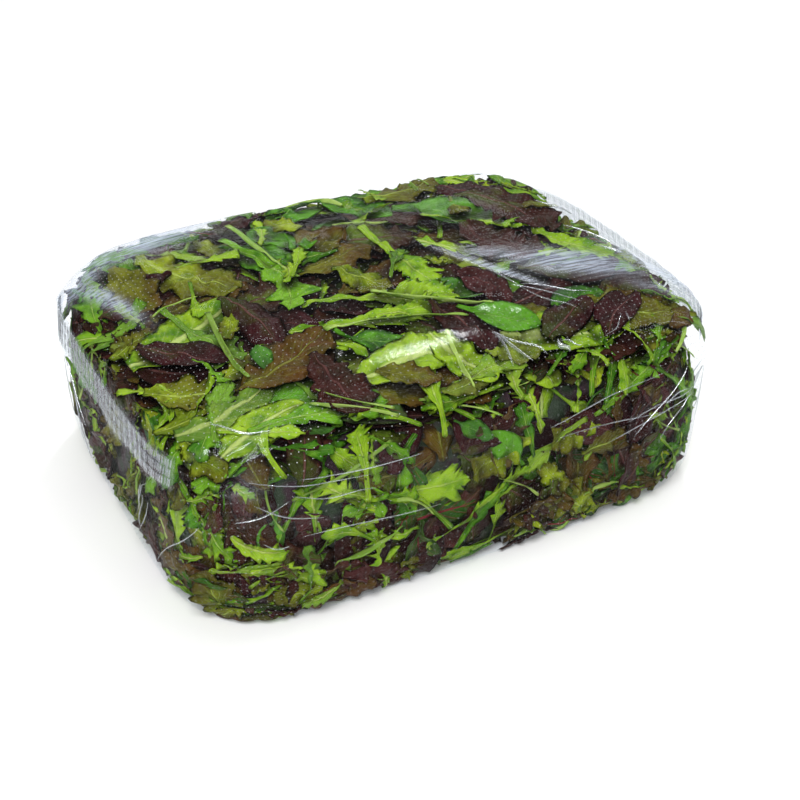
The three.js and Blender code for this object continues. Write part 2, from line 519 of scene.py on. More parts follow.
class CubeLattice:
    """A grid drawn on the box's six sides, with shared points along the edges."""

    PLANES = ((0, 1, 2), (1, 2, 0), (2, 0, 1))

    def __init__(self, cells: tuple[int, int, int]) -> None:
        """Builds the grid.

        Args:
            cells: How many cells it has along X, Y and Z.
        """
        self.cells = np.array(cells)
        corner_sets, shapes = [], []
        for axis, right, up in self.PLANES:
            steps = np.meshgrid(
                np.arange(cells[right] + 1), np.arange(cells[up] + 1), indexing="ij"
            )
            for side in (0, 1):
                corner_sets.append(self.side_points(axis, side * cells[axis], steps))
                shapes.append(steps[0].shape)
        stacked = np.concatenate(corner_sets)
        found, numbers = np.unique(stacked, axis=0, return_inverse=True)
        self.cubes = found / self.cells * 2.0 - 1.0
        self.grids: list[np.ndarray] = []
        start = 0
        numbers = numbers.reshape(-1)
        for shape in shapes:
            count = shape[0] * shape[1]
            self.grids.append(numbers[start : start + count].reshape(shape))
            start += count
        faces = []
        for number, grid in enumerate(self.grids):
            ring = (grid[:-1, :-1], grid[1:, :-1], grid[1:, 1:], grid[:-1, 1:])
            quads = np.stack([part.ravel() for part in ring], axis=-1)
            faces.append(quads if number % 2 else quads[:, ::-1])
        self.quads = np.concatenate(faces)
        edges = np.concatenate(
            [np.stack((self.quads[:, k], self.quads[:, (k + 1) % 4]), -1) for k in range(4)]
        )
        self.edges = np.unique(np.sort(edges, axis=1), axis=0)
        both = np.concatenate((self.edges[:, 0], self.edges[:, 1]))
        self.neighbour_counts = np.bincount(both, minlength=len(self.cubes))

    @classmethod
    def side_points(cls, axis: int, place: float, steps: list[np.ndarray]) -> np.ndarray:
        """Points over one side of a cube.

        Args:
            axis: The axis that the side faces.
            place: Where the side lies on that axis.
            steps: Where the points lie on the other two, as two grids.

        Returns:
            One row for each point.
        """
        _, right, up = cls.PLANES[axis]
        points = np.zeros(steps[0].shape + (3,), dtype=steps[0].dtype)
        points[..., axis] = place
        points[..., right], points[..., up] = steps
        return points.reshape(-1, 3)

    def neighbour_mean(self, values: np.ndarray) -> np.ndarray:
        """The mean over each point's neighbours.

        Args:
            values: One number for each point of the grid.

        Returns:
            As many numbers.
        """
        first, second = self.edges.T
        total = np.bincount(first, values[second], len(values))
        total += np.bincount(second, values[first], len(values))
        return total / self.neighbour_counts

    def neighbour_most(self, values: np.ndarray) -> np.ndarray:
        """The most among each point and its neighbours.

        Args:
            values: One number for each point of the grid.

        Returns:
            As many numbers.
        """
        first, second = self.edges.T
        most = values.copy()
        np.maximum.at(most, first, values[second])
        np.maximum.at(most, second, values[first])
        return most

    def at(self, units: np.ndarray, values: np.ndarray) -> np.ndarray:
        """Values between the grid's points.

        Args:
            units: Shares, one row each.
            values: One number for each point of the grid.

        Returns:
            One number for each row.
        """
        cubes = units / np.abs(units).max(axis=-1, keepdims=True)
        found = np.zeros(len(units))
        main = np.abs(cubes).argmax(axis=-1)
        for axis, right, up in self.PLANES:
            for side in (0, 1):
                here = (main == axis) & ((cubes[:, axis] > 0) == bool(side))
                if not here.any():
                    continue
                grid = self.grids[axis * 2 + side]
                places = []
                for way in (right, up):
                    steps = (cubes[here, way] + 1) / 2 * self.cells[way]
                    low = np.clip(np.floor(steps).astype(int), 0, self.cells[way] - 1)
                    places.append((low, steps - low))
                (i, s), (j, t) = places
                found[here] = (
                    values[grid[i, j]] * (1 - s) * (1 - t)
                    + values[grid[i + 1, j]] * s * (1 - t)
                    + values[grid[i, j + 1]] * (1 - s) * t
                    + values[grid[i + 1, j + 1]] * s * t
                )
        return found


class HeapTop:
    """How high the leaves already laid reach over the core, all round the bag."""

    CELLS = 288

    def __init__(self) -> None:
        """Starts with a bare core."""
        self.heights = np.zeros((6, self.CELLS, self.CELLS), dtype=np.float32)

    def index(self, units: np.ndarray) -> tuple[np.ndarray, np.ndarray, np.ndarray]:
        """The side and the cell of each share.

        Args:
            units: Shares, with any shape before the last axis.

        Returns:
            The side's number, and the cell's two, each of that shape.
        """
        cubes = units / np.abs(units).max(axis=-1, keepdims=True)
        main = np.abs(cubes).argmax(axis=-1)
        ahead = np.take_along_axis(cubes, main[..., None], -1)[..., 0] > 0
        right = np.take_along_axis(cubes, ((main + 1) % 3)[..., None], -1)[..., 0]
        up = np.take_along_axis(cubes, ((main + 2) % 3)[..., None], -1)[..., 0]
        cells = [
            np.clip(((way + 1) / 2 * self.CELLS).astype(int), 0, self.CELLS - 1)
            for way in (right, up)
        ]
        return main * 2 + ahead, cells[0], cells[1]

    def under(self, units: np.ndarray) -> np.ndarray:
        """The height reached at each share."""
        return self.heights[self.index(units)]

    def raise_to(self, units: np.ndarray, heights: np.ndarray) -> None:
        """Takes a leaf's top into account."""
        np.maximum.at(self.heights, self.index(units), heights.astype(np.float32))

    def widened(self, reach: int) -> "HeapTop":
        """The same heights, each the most over a square of cells.

        Args:
            reach: How many cells the square reaches each way.

        Returns:
            A heap top of its own.
        """
        wide = HeapTop()
        wide.heights = self.heights.copy()
        for axis in (1, 2):
            for _ in range(reach):
                padded = np.pad(wide.heights, [(1, 1) if k == axis else (0, 0) for k in range(3)],
                                mode="edge")
                count = padded.shape[axis]
                sides = [np.take(padded, np.arange(k, count - 2 + k), axis) for k in range(3)]
                wide.heights = np.maximum.reduce(sides)
        return wide

    def softened(self, reach: int) -> "HeapTop":
        """The same heights, each averaged over a square of cells.

        Args:
            reach: How many cells the square reaches each way.

        Returns:
            A heap top of its own.
        """
        soft = HeapTop()
        wide = 2 * reach + 1
        padded = np.pad(self.heights, ((0, 0), (reach, reach), (reach, reach)), mode="edge")
        for axis in (1, 2):
            total = np.cumsum(padded.astype(float), axis=axis)
            total = np.concatenate((np.zeros_like(np.take(total, [0], axis)), total), axis=axis)
            count = total.shape[axis]
            late = np.take(total, np.arange(wide, count), axis)
            padded = (late - np.take(total, np.arange(0, count - wide), axis)) / wide
        soft.heights = padded.astype(np.float32)
        return soft


class LeafSort(Enum):
    """The sorts of leaf in the mix. The value is the piece's name."""

    SPINACH = "baby_spinach"
    ROCKET = "rocket"
    MIZUNA = "mizuna"
    FRISEE = "frisee"
    OAK = "green_oak_lettuce"
    COS = "cos_lettuce"
    LOLLO = "red_lollo_lettuce"
    RED_COS = "red_cos_lettuce"
    BRONZE = "bronze_lettuce"
    CHARD = "red_chard"
    STEM = "leaf_stems"


@dataclass(frozen=True)
class LeafForm:
    """The shape of one sort of leaf. Widths are shares of its length, reliefs are millimetres."""

    slender: float
    stalk: float = 0.15
    stalk_width: float = 0.035
    lean: float = 0.85
    fullness: float = 0.7
    lobes: float = 0.0
    lobe_depth: float = 0.0
    teeth: float = 0.0
    tooth_depth: float = 0.0
    sweep: float = 0.0
    ruffle: float = 1.0
    ruffles: float = 2.0
    cup: float = 3.0
    bend: float = 4.0
    blister: float = 0.4
    crumple: float = 1.0
    midrib: float = 0.6
    thickness: float = 0.45
    lengths: tuple[float, float] = (50.0, 85.0)
    curl: float = 0.55
    crumple_waves: tuple[float, float] = (23.0, 13.0)
    least_width: float = 0.003

    def half_width(self, along: np.ndarray, phase: float) -> np.ndarray:
        """Half the leaf's width, as a share of its length.

        Args:
            along: Shares from the foot of the stalk to the tip.
            phase: Shifts the lobes and teeth, so that the two sides differ.

        Returns:
            One width for each share.
        """
        blade = np.clip((along - self.stalk) / (1 - self.stalk), 0.0, 1.0)
        uneven = 0.035 * np.sin(13.0 * blade + 7.0 * phase) + 0.02 * np.sin(31.0 * blade - phase)
        swell = np.sin(math.pi * blade**self.lean) ** self.fullness
        lobe = 0.5 + 0.5 * np.cos(2 * math.pi * (self.lobes * (blade + uneven) + phase))
        tooth = (self.teeth * (blade + 2 * uneven) + phase * 3.1) % 1.0
        cut = (1 - self.lobe_depth * lobe**1.5) * (1 - self.tooth_depth * tooth)
        stalk = self.stalk_width * (1 - 0.75 * along)
        blade_width = self.slender / 2 * np.maximum(swell, 0.0) * cut
        return np.maximum(blade_width, stalk) + self.least_width

    def spread(self, length: float, patch: "LeafPatch",
               rng: np.random.Generator) -> "LeafPlan":
        """Spreads one leaf flat, with its length gently curved.

        Args:
            length: In millimetres.
            patch: How finely it is meshed.
            rng: Draws how its two sides differ, and its curve.

        Returns:
            The plan.
        """
        along = np.linspace(0.0, 1.0, patch.stations + 1)
        across = np.linspace(-1.0, 1.0, patch.lanes + 1)
        t, v = np.meshgrid(along, across, indexing="ij")
        phases = rng.random(2)
        sides = [self.half_width(along, phase) * length for phase in phases]
        half = np.where(v < 0, sides[0][:, None], sides[1][:, None])
        turn = (t - 0.5) * rng.normal(0.0, self.curl)
        run = (t - 0.5) * length + self.sweep * half * np.abs(v) ** 1.4
        ahead = run * np.cos(turn * 0.5) - v * half * np.sin(turn)
        aside = run * np.sin(turn * 0.5) + v * half * np.cos(turn)
        return LeafPlan(length, t, v, half, ahead, aside, phases)

    def relief(self, plan: "LeafPlan", rng: np.random.Generator) -> np.ndarray:
        """How one leaf's own waves and folds lift it off a flat sheet.

        Args:
            plan: The leaf, spread flat.
            rng: Draws its folds, its cup, its bend and its tilt.

        Returns:
            Heights in millimetres over the plan's grid.
        """
        t, v, half, length, phases = plan.t, plan.v, plan.half, plan.length, plan.phases
        side_phase = np.where(v < 0, phases[0], phases[1]) * 2 * math.pi
        ruffle = self.ruffle * np.abs(v) ** 1.8 * np.sin(
            2 * math.pi * self.ruffles * t + side_phase
        )
        ruffle += 0.4 * self.ruffle * np.abs(v) ** 2.5 * np.sin(
            2 * math.pi * self.ruffles * 2.3 * t + 1.7 * side_phase
        )
        blister = self.blister * np.sin(t * length * 0.9 + phases[0] * 9) * np.sin(
            v * half * 0.8 + phases[1] * 9
        )
        slant = rng.uniform(0, math.pi, 2)
        for way, wave in zip(slant, self.crumple_waves):
            course = (t * length * math.cos(way) + v * half * math.sin(way)) * 2 * math.pi / wave
            blister = blister + self.crumple * np.sin(course + rng.uniform(0, 6.3))
        cup = self.cup * rng.normal(0.4, 0.8) * np.abs(v) ** 1.5
        bend = self.bend * rng.normal(0.3, 0.9) * (2 * t - 1) ** 2
        lift = rng.normal(0.0, 3.2) * v * np.sin(math.pi * t) + rng.normal(0.0, 3.0) * (t - 0.5)
        return ruffle + blister + cup + bend + lift


FORMS: dict[LeafSort, LeafForm] = {
    LeafSort.SPINACH: LeafForm(0.5, 0.24, 0.03, 0.8, 0.62, cup=6.0, bend=7.0, crumple=0.8,
                               lengths=(42.0, 72.0)),
    LeafSort.ROCKET: LeafForm(0.36, 0.25, 0.028, 1.25, 0.8, 3.0, 0.62, sweep=0.5, ruffle=1.2,
                              crumple=0.9, lengths=(60.0, 96.0)),
    LeafSort.MIZUNA: LeafForm(0.34, 0.3, 0.03, 1.15, 0.75, 5.0, 0.35, 10.0, 0.5, 0.9,
                              ruffle=2.4, ruffles=5.0, cup=2.0, lengths=(62.0, 100.0)),
    LeafSort.FRISEE: LeafForm(0.4, 0.12, 0.035, 1.3, 0.7, 7.0, 0.72, 9.0, 0.3, 0.7,
                              ruffle=4.0, ruffles=6.0, cup=1.0, lengths=(50.0, 84.0)),
    LeafSort.OAK: LeafForm(0.62, 0.06, 0.06, 1.05, 0.55, 3.0, 0.36, 9.0, 0.16, 0.3,
                           ruffle=5.0, ruffles=4.5, cup=4.0, blister=1.0, crumple=1.8,
                           lengths=(44.0, 74.0)),
    LeafSort.COS: LeafForm(0.4, 0.04, 0.075, 1.0, 0.45, ruffle=2.2, ruffles=4.0, cup=6.0,
                           blister=1.0, crumple=1.3, midrib=1.6, lengths=(55.0, 84.0)),
    LeafSort.LOLLO: LeafForm(0.7, 0.04, 0.06, 1.1, 0.5, 4.0, 0.24, 11.0, 0.16, 0.2,
                             ruffle=5.6, ruffles=6.0, cup=3.0, blister=1.0, crumple=2.0,
                             lengths=(42.0, 68.0)),
    LeafSort.RED_COS: LeafForm(0.46, 0.05, 0.06, 0.95, 0.5, ruffle=2.6, ruffles=3.5, cup=6.0,
                               blister=1.0, crumple=1.7, midrib=1.2, lengths=(50.0, 80.0)),
    LeafSort.BRONZE: LeafForm(0.56, 0.06, 0.05, 0.95, 0.55, 2.5, 0.26, 8.0, 0.12, 0.2,
                              ruffle=3.8, ruffles=4.0, cup=6.0, blister=1.0, crumple=1.7,
                              lengths=(46.0, 74.0)),
    LeafSort.CHARD: LeafForm(0.46, 0.2, 0.04, 0.85, 0.6, ruffle=2.0, ruffles=3.0, cup=6.0,
                             blister=1.1, crumple=1.5, midrib=1.0, lengths=(50.0, 78.0)),
    LeafSort.STEM: LeafForm(0.024, 0.9, 0.02, 1.0, 0.5, ruffle=0.2, cup=-0.6, bend=6.0,
                            blister=0.1, crumple=0.5, midrib=0.5, thickness=1.2,
                            lengths=(45.0, 90.0)),
}


@dataclass(frozen=True)
class PhotoView:
    """The photo's camera, where a fit to the photo's straight lines puts it, in metres."""

    lens: float = 61.04
    sensor: float = 36.0
    side: float = 800.0
    right: Place = (0.8805331, -0.4733205, 0.0250819)
    up: Place = (0.2461102, 0.5017892, 0.8292390)
    back: Place = (-0.4050817, -0.7239995, 0.5583310)
    place: Place = (-0.35632882, -0.66477525, 0.54506771)

    def onto(self, pixel: Pixel, height: float) -> np.ndarray:
        """Where the line of sight through a pixel comes down to a height.

        Args:
            pixel: Its place in the photo, from the upper left corner.
            height: Millimetres over the floor.

        Returns:
            The point in millimetres.
        """
        middle, focus = self.side / 2, self.lens / self.sensor * self.side
        aside, down = (pixel[0] - middle) / focus, (pixel[1] - middle) / focus
        sight = np.array(self.right) * aside - np.array(self.up) * down - np.array(self.back)
        start = np.array(self.place) / MM
        return start + sight * (height - start[2]) / sight[2]


VIEW = PhotoView()


@dataclass(frozen=True)
class Spot:
    """One leaf that shows plainly on the top: its sort, place, heading and length."""

    sort: LeafSort
    x: float
    y: float
    heading: float
    length: float
    tone: float | None = None

    @classmethod
    def seen(cls, sort: LeafSort, foot: Pixel, tip: Pixel, height: float,
             tone: float) -> "Spot":
        """A leaf that is marked by its two ends in the photo.

        Args:
            sort: Which leaf it is.
            foot: The pixel of its foot.
            tip: The pixel of its tip.
            height: How high it lies, in millimetres.
            tone: How fresh its green is.

        Returns:
            The leaf, in whole millimetres and degrees.
        """
        start, finish = VIEW.onto(foot, height), VIEW.onto(tip, height)
        x, y = (start + finish)[:2] / 2
        dx, dy = (finish - start)[:2]
        heading = math.degrees(math.atan2(dy, dx))
        return cls(sort, round(x), round(y), round(heading), round(math.hypot(dx, dy)), tone)


@dataclass(frozen=True)
class LeafPatch:
    """How one leaf is meshed: its steps from foot to tip and from margin to margin."""

    stations: int
    lanes: int

    def faces(self) -> np.ndarray:
        """Triangles of both faces, which share the points round the margin.

        Returns:
            Corner numbers. The upper face's points come first, row by row, and then the lower
            face's inner points.
        """
        rows, columns = self.stations + 1, self.lanes + 1
        upper = np.arange(rows * columns).reshape(rows, columns)
        lower = upper.copy()
        inner = (rows - 2) * (columns - 2)
        lower[1:-1, 1:-1] = rows * columns + np.arange(inner).reshape(rows - 2, columns - 2)

        def triangles(grid: np.ndarray) -> np.ndarray:
            """Both triangles of every cell, with the diagonals running out to the corners.

            Args:
                grid: One face's corner numbers.

            Returns:
                Three corner numbers for each triangle.
            """
            a, b, c, d = grid[:-1, :-1], grid[1:, :-1], grid[1:, 1:], grid[:-1, 1:]
            row, column = np.indices(a.shape)
            falling = (row < self.stations / 2) == (column < self.lanes / 2)
            first = np.where(falling, (a, b, c), (a, b, d))
            second = np.where(falling, (a, c, d), (b, c, d))
            return np.concatenate((first.reshape(3, -1).T, second.reshape(3, -1).T))

        return np.concatenate((triangles(upper), triangles(lower)[:, ::-1]))

    @staticmethod
    def both(upper: np.ndarray, lower: np.ndarray | None = None) -> np.ndarray:
        """One row for each corner: the upper face's values and then the lower face's inner ones.

        Args:
            upper: Values over the upper face's grid.
            lower: Values over the lower face's, or None for the same.

        Returns:
            The rows, in the order that faces gives.
        """
        kind = upper.shape[2:]
        inner = (upper if lower is None else lower)[1:-1, 1:-1]
        return np.concatenate((upper.reshape(-1, *kind), inner.reshape(-1, *kind)))


FINE = LeafPatch(32, 8)
COARSE = LeafPatch(16, 4)
FINE_PATCHES: dict[LeafSort, LeafPatch] = {
    LeafSort.MIZUNA: LeafPatch(54, 6), LeafSort.FRISEE: LeafPatch(58, 6),
    LeafSort.ROCKET: LeafPatch(40, 6), LeafSort.STEM: LeafPatch(24, 4),
}


@dataclass(frozen=True)
class LeafPlan:
    """One leaf spread flat. Its grids go from foot to tip and from margin to margin.

    t is the share of the length and v the share of the half width. ahead and aside are
    millimetres from the leaf's middle. phases tell its two sides apart.
    """

    length: float
    t: np.ndarray
    v: np.ndarray
    half: np.ndarray
    ahead: np.ndarray
    aside: np.ndarray
    phases: np.ndarray


class Region(Enum):
    """Where on the bag leaves are laid at random."""

    TOP = "top"
    BASE = "base"
    SIDES = "sides"
    RIM = "rim"


@dataclass
class LaidLeaf:
    """One leaf as it came to lie: its skin shares and its heights over the core's bed."""

    sort: LeafSort
    patch: LeafPatch
    units: np.ndarray
    heights: np.ndarray
    tone: float
    blush: float
    upside: float


@dataclass
class LeafHeap:
    """The loose leaves, laid one on another from the core outwards."""

    box: SoftBox
    tent: EndTent
    bed_depth: float = 24.0
    reach: float = 34.0
    over_room: float = 1.8
    film_room: float = 1.3
    level_cells: tuple[int, int, int] = (96, 74, 40)
    level_spread: int = 3
    level_blur: int = 44
    shade_reach: int = 5
    shade_depth: float = 2.2
    slips: tuple[float, float] = (0.8, 5.0)
    planted_slip: float = 0.2
    rest_share: float = 0.72
    settle_rounds: int = 3
    leaf_gap: float = 0.15
    float_room: float = 2.0
    midrib_half: float = 2.2
    upside_share: float = 0.18
    least_heights: tuple[float, float] = (0.5, 0.3)
    side_span: tuple[float, float] = (-0.95, 0.97)
    rim_span: tuple[float, float] = (0.8, 1.15)
    flat_span: tuple[float, float] = (0.93, 0.96)
    fill_left: float = 0.9
    fill_right: float = 0.12
    rng: np.random.Generator = field(default_factory=lambda: np.random.default_rng(4117))
    top: HeapTop = field(default_factory=HeapTop)
    leaves: list[LaidLeaf] = field(default_factory=list)

    def settle(self) -> None:
        """Finds the smooth level of the leaves' tops, which the film brings to its own line."""
        self.lattice = CubeLattice(self.level_cells)
        level = self.top.under(self.box.onto_skin(self.lattice.cubes)).astype(float)
        for _ in range(self.level_spread):
            level = self.lattice.neighbour_most(level)
        for _ in range(self.level_blur):
            level = self.lattice.neighbour_mean(level)
        self.level = level
        self.around = self.top.softened(self.shade_reach)

    def depth(self, units: np.ndarray, heights: np.ndarray) -> np.ndarray:
        """How far out of the skin a height over the bed comes, once the film presses on it.

        Args:
            units: Unit shares, with any shape before the last axis.
            heights: Heights over the bed, of that shape.

        Returns:
            Millimetres along the skin's normals, mostly below nought.
        """
        level = self.lattice.at(units.reshape(-1, 3), self.level).reshape(heights.shape)
        under = level - heights
        inside = self.bed_depth * (1 - np.exp(-np.maximum(under, 0.0) / self.reach))
        slope = self.bed_depth / self.reach
        outside = 1 - np.exp(-slope * np.maximum(-under, 0.0) / self.over_room)
        return self.over_room * outside - inside - self.film_room

    def shade(self, units: np.ndarray, heights: np.ndarray) -> np.ndarray:
        """How deep in the others' shadow each point lies.

        Args:
            units: Unit shares, with any shape before the last axis.
            heights: Heights over the bed, of that shape.

        Returns:
            From 0 to nearly 1.
        """
        buried_in_shade = self.around.under(units) - heights
        return 1 - np.exp(-np.maximum(buried_in_shade, 0.0) / self.shade_depth)

    def bulge(self, skin: np.ndarray, normals: np.ndarray) -> np.ndarray:
        """How far the leaves reach out into the tents at the ends."""
        fill = np.where(skin[..., 0] < 0, self.fill_left, self.fill_right)
        return self.tent.lift(skin, normals) * fill

    def lay(self, sort: LeafSort, unit_share: np.ndarray, heading: float, length: float,
            patch: LeafPatch, tone: float | None = None, slip: float = 1.0,
            clear: bool = True) -> None:
        """Lays one leaf on those already there.

        Args:
            sort: Which leaf it is.
            unit_share: Where its middle lies on the skin.
            heading: Its turn about the skin's normal, in radians.
            length: In millimetres.
            patch: How finely it is meshed.
            tone: 0 for its deepest green and 1 for its freshest, or None for any.
            slip: How far its parts may slip in among the leaves under it, in millimetres.
            clear: Whether it also clears what reaches up between its points.
        """
        form, rng = FORMS[sort], self.rng
        plan = form.spread(length, patch, rng)
        own = form.relief(plan, rng)
        units = self.wrap(plan, unit_share, heading)
        support = self.support(units) if clear else self.top.under(units)
        heights = self.rest(own, support, support - slip) + form.thickness + self.leaf_gap
        beside = np.minimum(1.0, np.abs(plan.v) * plan.half / self.midrib_half)
        heights += form.midrib * (1 - beside) * (1 - plan.t)
        drawn = float(rng.random())
        self.leaves.append(
            LaidLeaf(sort, patch, units, heights, drawn if tone is None else tone,
                     float(rng.random()), float(rng.random() < self.upside_share))
        )
        self.top.raise_to(self.finer(units).reshape(-1, 3), self.finer(heights).ravel())

    def wrap(self, plan: LeafPlan, unit_share: np.ndarray, heading: float) -> np.ndarray:
        """Lays a flat leaf on the skin.

        Args:
            plan: The leaf, spread flat.
            unit_share: Where its middle lies on the skin.
            heading: Its turn about the skin's normal, in radians.

        Returns:
            Unit shares over its grid.
        """
        centre = self.box.points(unit_share)
        normal = self.box.normals(unit_share)
        aid = EAST if abs(normal[2]) > 0.7 else UP
        east = unit(aid - normal * aid.dot(normal))
        north = np.cross(normal, east)
        first = east * math.cos(heading) + north * math.sin(heading)
        second = np.cross(normal, first)
        flat = centre + plan.ahead[..., None] * first + plan.aside[..., None] * second
        return self.box.onto_skin(self.box.shares(flat))

    def rest(self, own: np.ndarray, support: np.ndarray, bed: np.ndarray) -> np.ndarray:
        """Lets a leaf sink on what lies under it and take its shape.

        Args:
            own: The leaf's own relief.
            support: How high the heap reaches under it.
            bed: How low its parts may slip.

        Returns:
            Heights of its lower face.
        """
        heights = np.maximum(bed, own + np.quantile(support - own, self.rest_share))
        for _ in range(self.settle_rounds):
            padded = np.pad(heights, 1, mode="edge")
            mean = (
                padded[:-2, 1:-1] + padded[2:, 1:-1] + padded[1:-1, :-2] + padded[1:-1, 2:]
            ) / 4
            heights = np.maximum(bed, 0.5 * heights + 0.5 * mean)
        sink = 0.5 * max(0.0, float(np.median(heights - support)) - self.float_room)
        return np.maximum(heights - sink, bed)

    @staticmethod
    def finer(values: np.ndarray) -> np.ndarray:
        """Values with two more between each two, along the first two axes.

        Args:
            values: Values over a leaf's grid.

        Returns:
            Values over a grid three times as fine.
        """
        for axis in (0, 1):
            count = values.shape[axis]
            steps = np.linspace(0, count - 1, (count - 1) * 3 + 1)
            low = np.minimum(steps.astype(int), count - 2)
            share = (steps - low).reshape([-1 if k == axis else 1 for k in range(values.ndim)])
            values = (
                np.take(values, low, axis) * (1 - share)
                + np.take(values, low + 1, axis) * share
            )
        return values

    def support(self, units: np.ndarray) -> np.ndarray:
        """The most that the heap reaches round each point of a leaf, nearly to the next ones.

        Args:
            units: The leaf's unit shares.

        Returns:
            Heights over the bed.
        """
        levels = self.top.under(self.finer(units))
        rows, columns = levels.shape
        padded = np.pad(levels, 2, mode="edge")
        return np.maximum.reduce(
            [padded[i:i + rows:3, j:j + columns:3] for i in range(5) for j in range(5)]
        )

    def scatter(self, count: int, sorts: dict[LeafSort, float], patch: LeafPatch,
                region: Region, scale: float = 1.0) -> None:
        """Lays leaves at random over one region.

        Args:
            count: How many.
            sorts: How often each sort comes.
            patch: How finely they are meshed.
            region: Where they lie.
            scale: Their size beside the sort's own.
        """
        rng = self.rng
        names = list(sorts)
        chances = np.array([sorts[name] for name in names])
        chances /= chances.sum()
        long, wide = self.box.length, self.box.width
        spans = {Region.SIDES: self.side_span, Region.RIM: self.rim_span}
        for _ in range(count):
            sort = names[rng.choice(len(names), p=chances)]
            if region in spans:
                ahead, rest = divmod(rng.random() * 2 * (long + wide), long + wide)
                sign = 1.0 if ahead else -1.0
                high = rng.uniform(*spans[region])
                if rest < long:
                    cube = (rest / long * 2 - 1, sign, high)
                else:
                    cube = (sign, (rest - long) / wide * 2 - 1, high)
            else:
                x, y = self.flat_span
                cube = (rng.uniform(-x, x), rng.uniform(-y, y),
                        1.0 if region is Region.TOP else -1.0)
            share = self.box.onto_skin(np.array(cube))
            length = rng.uniform(*FORMS[sort].lengths) * scale
            heading, slip = rng.uniform(0, 2 * math.pi), rng.uniform(*self.slips)
            chosen = FINE_PATCHES.get(sort, patch) if patch is FINE else patch
            self.lay(sort, share, heading, length, chosen, slip=slip,
                     clear=region is Region.TOP)

    def plant(self, spots: list[Spot]) -> None:
        """Lays the leaves that show plainly on the top.

        Args:
            spots: The leaves, from the lowest to the highest.
        """
        for spot in spots:
            share = self.box.onto_skin(
                self.box.shares(np.array((spot.x, spot.y, self.box.belt + self.box.rise)))
            )
            patch = FINE_PATCHES.get(spot.sort, FINE)
            self.lay(spot.sort, share, math.radians(spot.heading), spot.length, patch, spot.tone,
                     self.planted_slip)

    def two_faces(self, leaf: LaidLeaf, form: LeafForm) -> tuple[np.ndarray, np.ndarray]:
        """Where a leaf's two faces lie once the film presses on the heap.

        Args:
            leaf: The leaf.
            form: Its sort's form.

        Returns:
            The upper and the lower face's points, in millimetres, over its grid.
        """
        skin = self.box.points(leaf.units)
        normal = self.box.normals(leaf.units)
        out = self.depth(leaf.units, leaf.heights) + self.bulge(skin, normal)
        upper = skin + normal * out[..., None]
        v = np.abs(np.linspace(-1, 1, leaf.heights.shape[1]))
        body = form.thickness * np.sqrt(np.maximum(0.0, 1 - v**2))
        lower = upper - normal * body[None, :, None]
        for face, least in zip((upper, lower), self.least_heights):
            face[..., 2] = np.maximum(face[..., 2], least)
        return upper, lower

    def piece(self, sort: LeafSort, finish: "LeafFinish") -> bpy.types.Object | None:
        """Joins all leaves of one sort in one mesh.

        Args:
            sort: The sort.
            finish: Its finish, which builds its material.

        Returns:
            The piece, or None where no such leaf was laid.
        """
        form = FORMS[sort]
        points, faces, maps = [], [], []
        marks: dict[str, list[np.ndarray]] = {
            name: [] for name in ("tone", "blush", "under", "shade")
        }
        start = 0
        for leaf in self.leaves:
            if leaf.sort is not sort:
                continue
            rows, columns = leaf.heights.shape
            t, s = np.meshgrid(np.linspace(0, 1, rows), np.linspace(0, 1, columns), indexing="ij")
            points.append(leaf.patch.both(*self.two_faces(leaf, form)))
            faces.append(leaf.patch.faces() + start)
            maps.append(leaf.patch.both(np.stack((t, s), -1)))
            count = len(points[-1])
            for name, value in (("tone", leaf.tone), ("blush", leaf.blush),
                                ("under", leaf.upside)):
                marks[name].append(np.full(count, value))
            # The shade attribute is painted shade: how deeply the other leaves cover each point.
            marks["shade"].append(leaf.patch.both(self.shade(leaf.units, leaf.heights)))
            start += count
        if not points:
            return None
        corners = np.concatenate(faces)
        thing = mesh_object(sort.value, np.concatenate(points), corners)
        places = np.concatenate(maps)[corners.ravel()]
        layer = thing.data.uv_layers.new(name="UVMap")
        layer.data.foreach_set("uv", places.astype(np.float32).ravel())
        for name, values in marks.items():
            add_attribute(thing, name, np.concatenate(values))
        thing.data.materials.append(finish.material(sort.value + "_finish"))
        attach(thing, BODY)
        log.info("%s: %d triangles", sort.value, len(corners))
        return thing


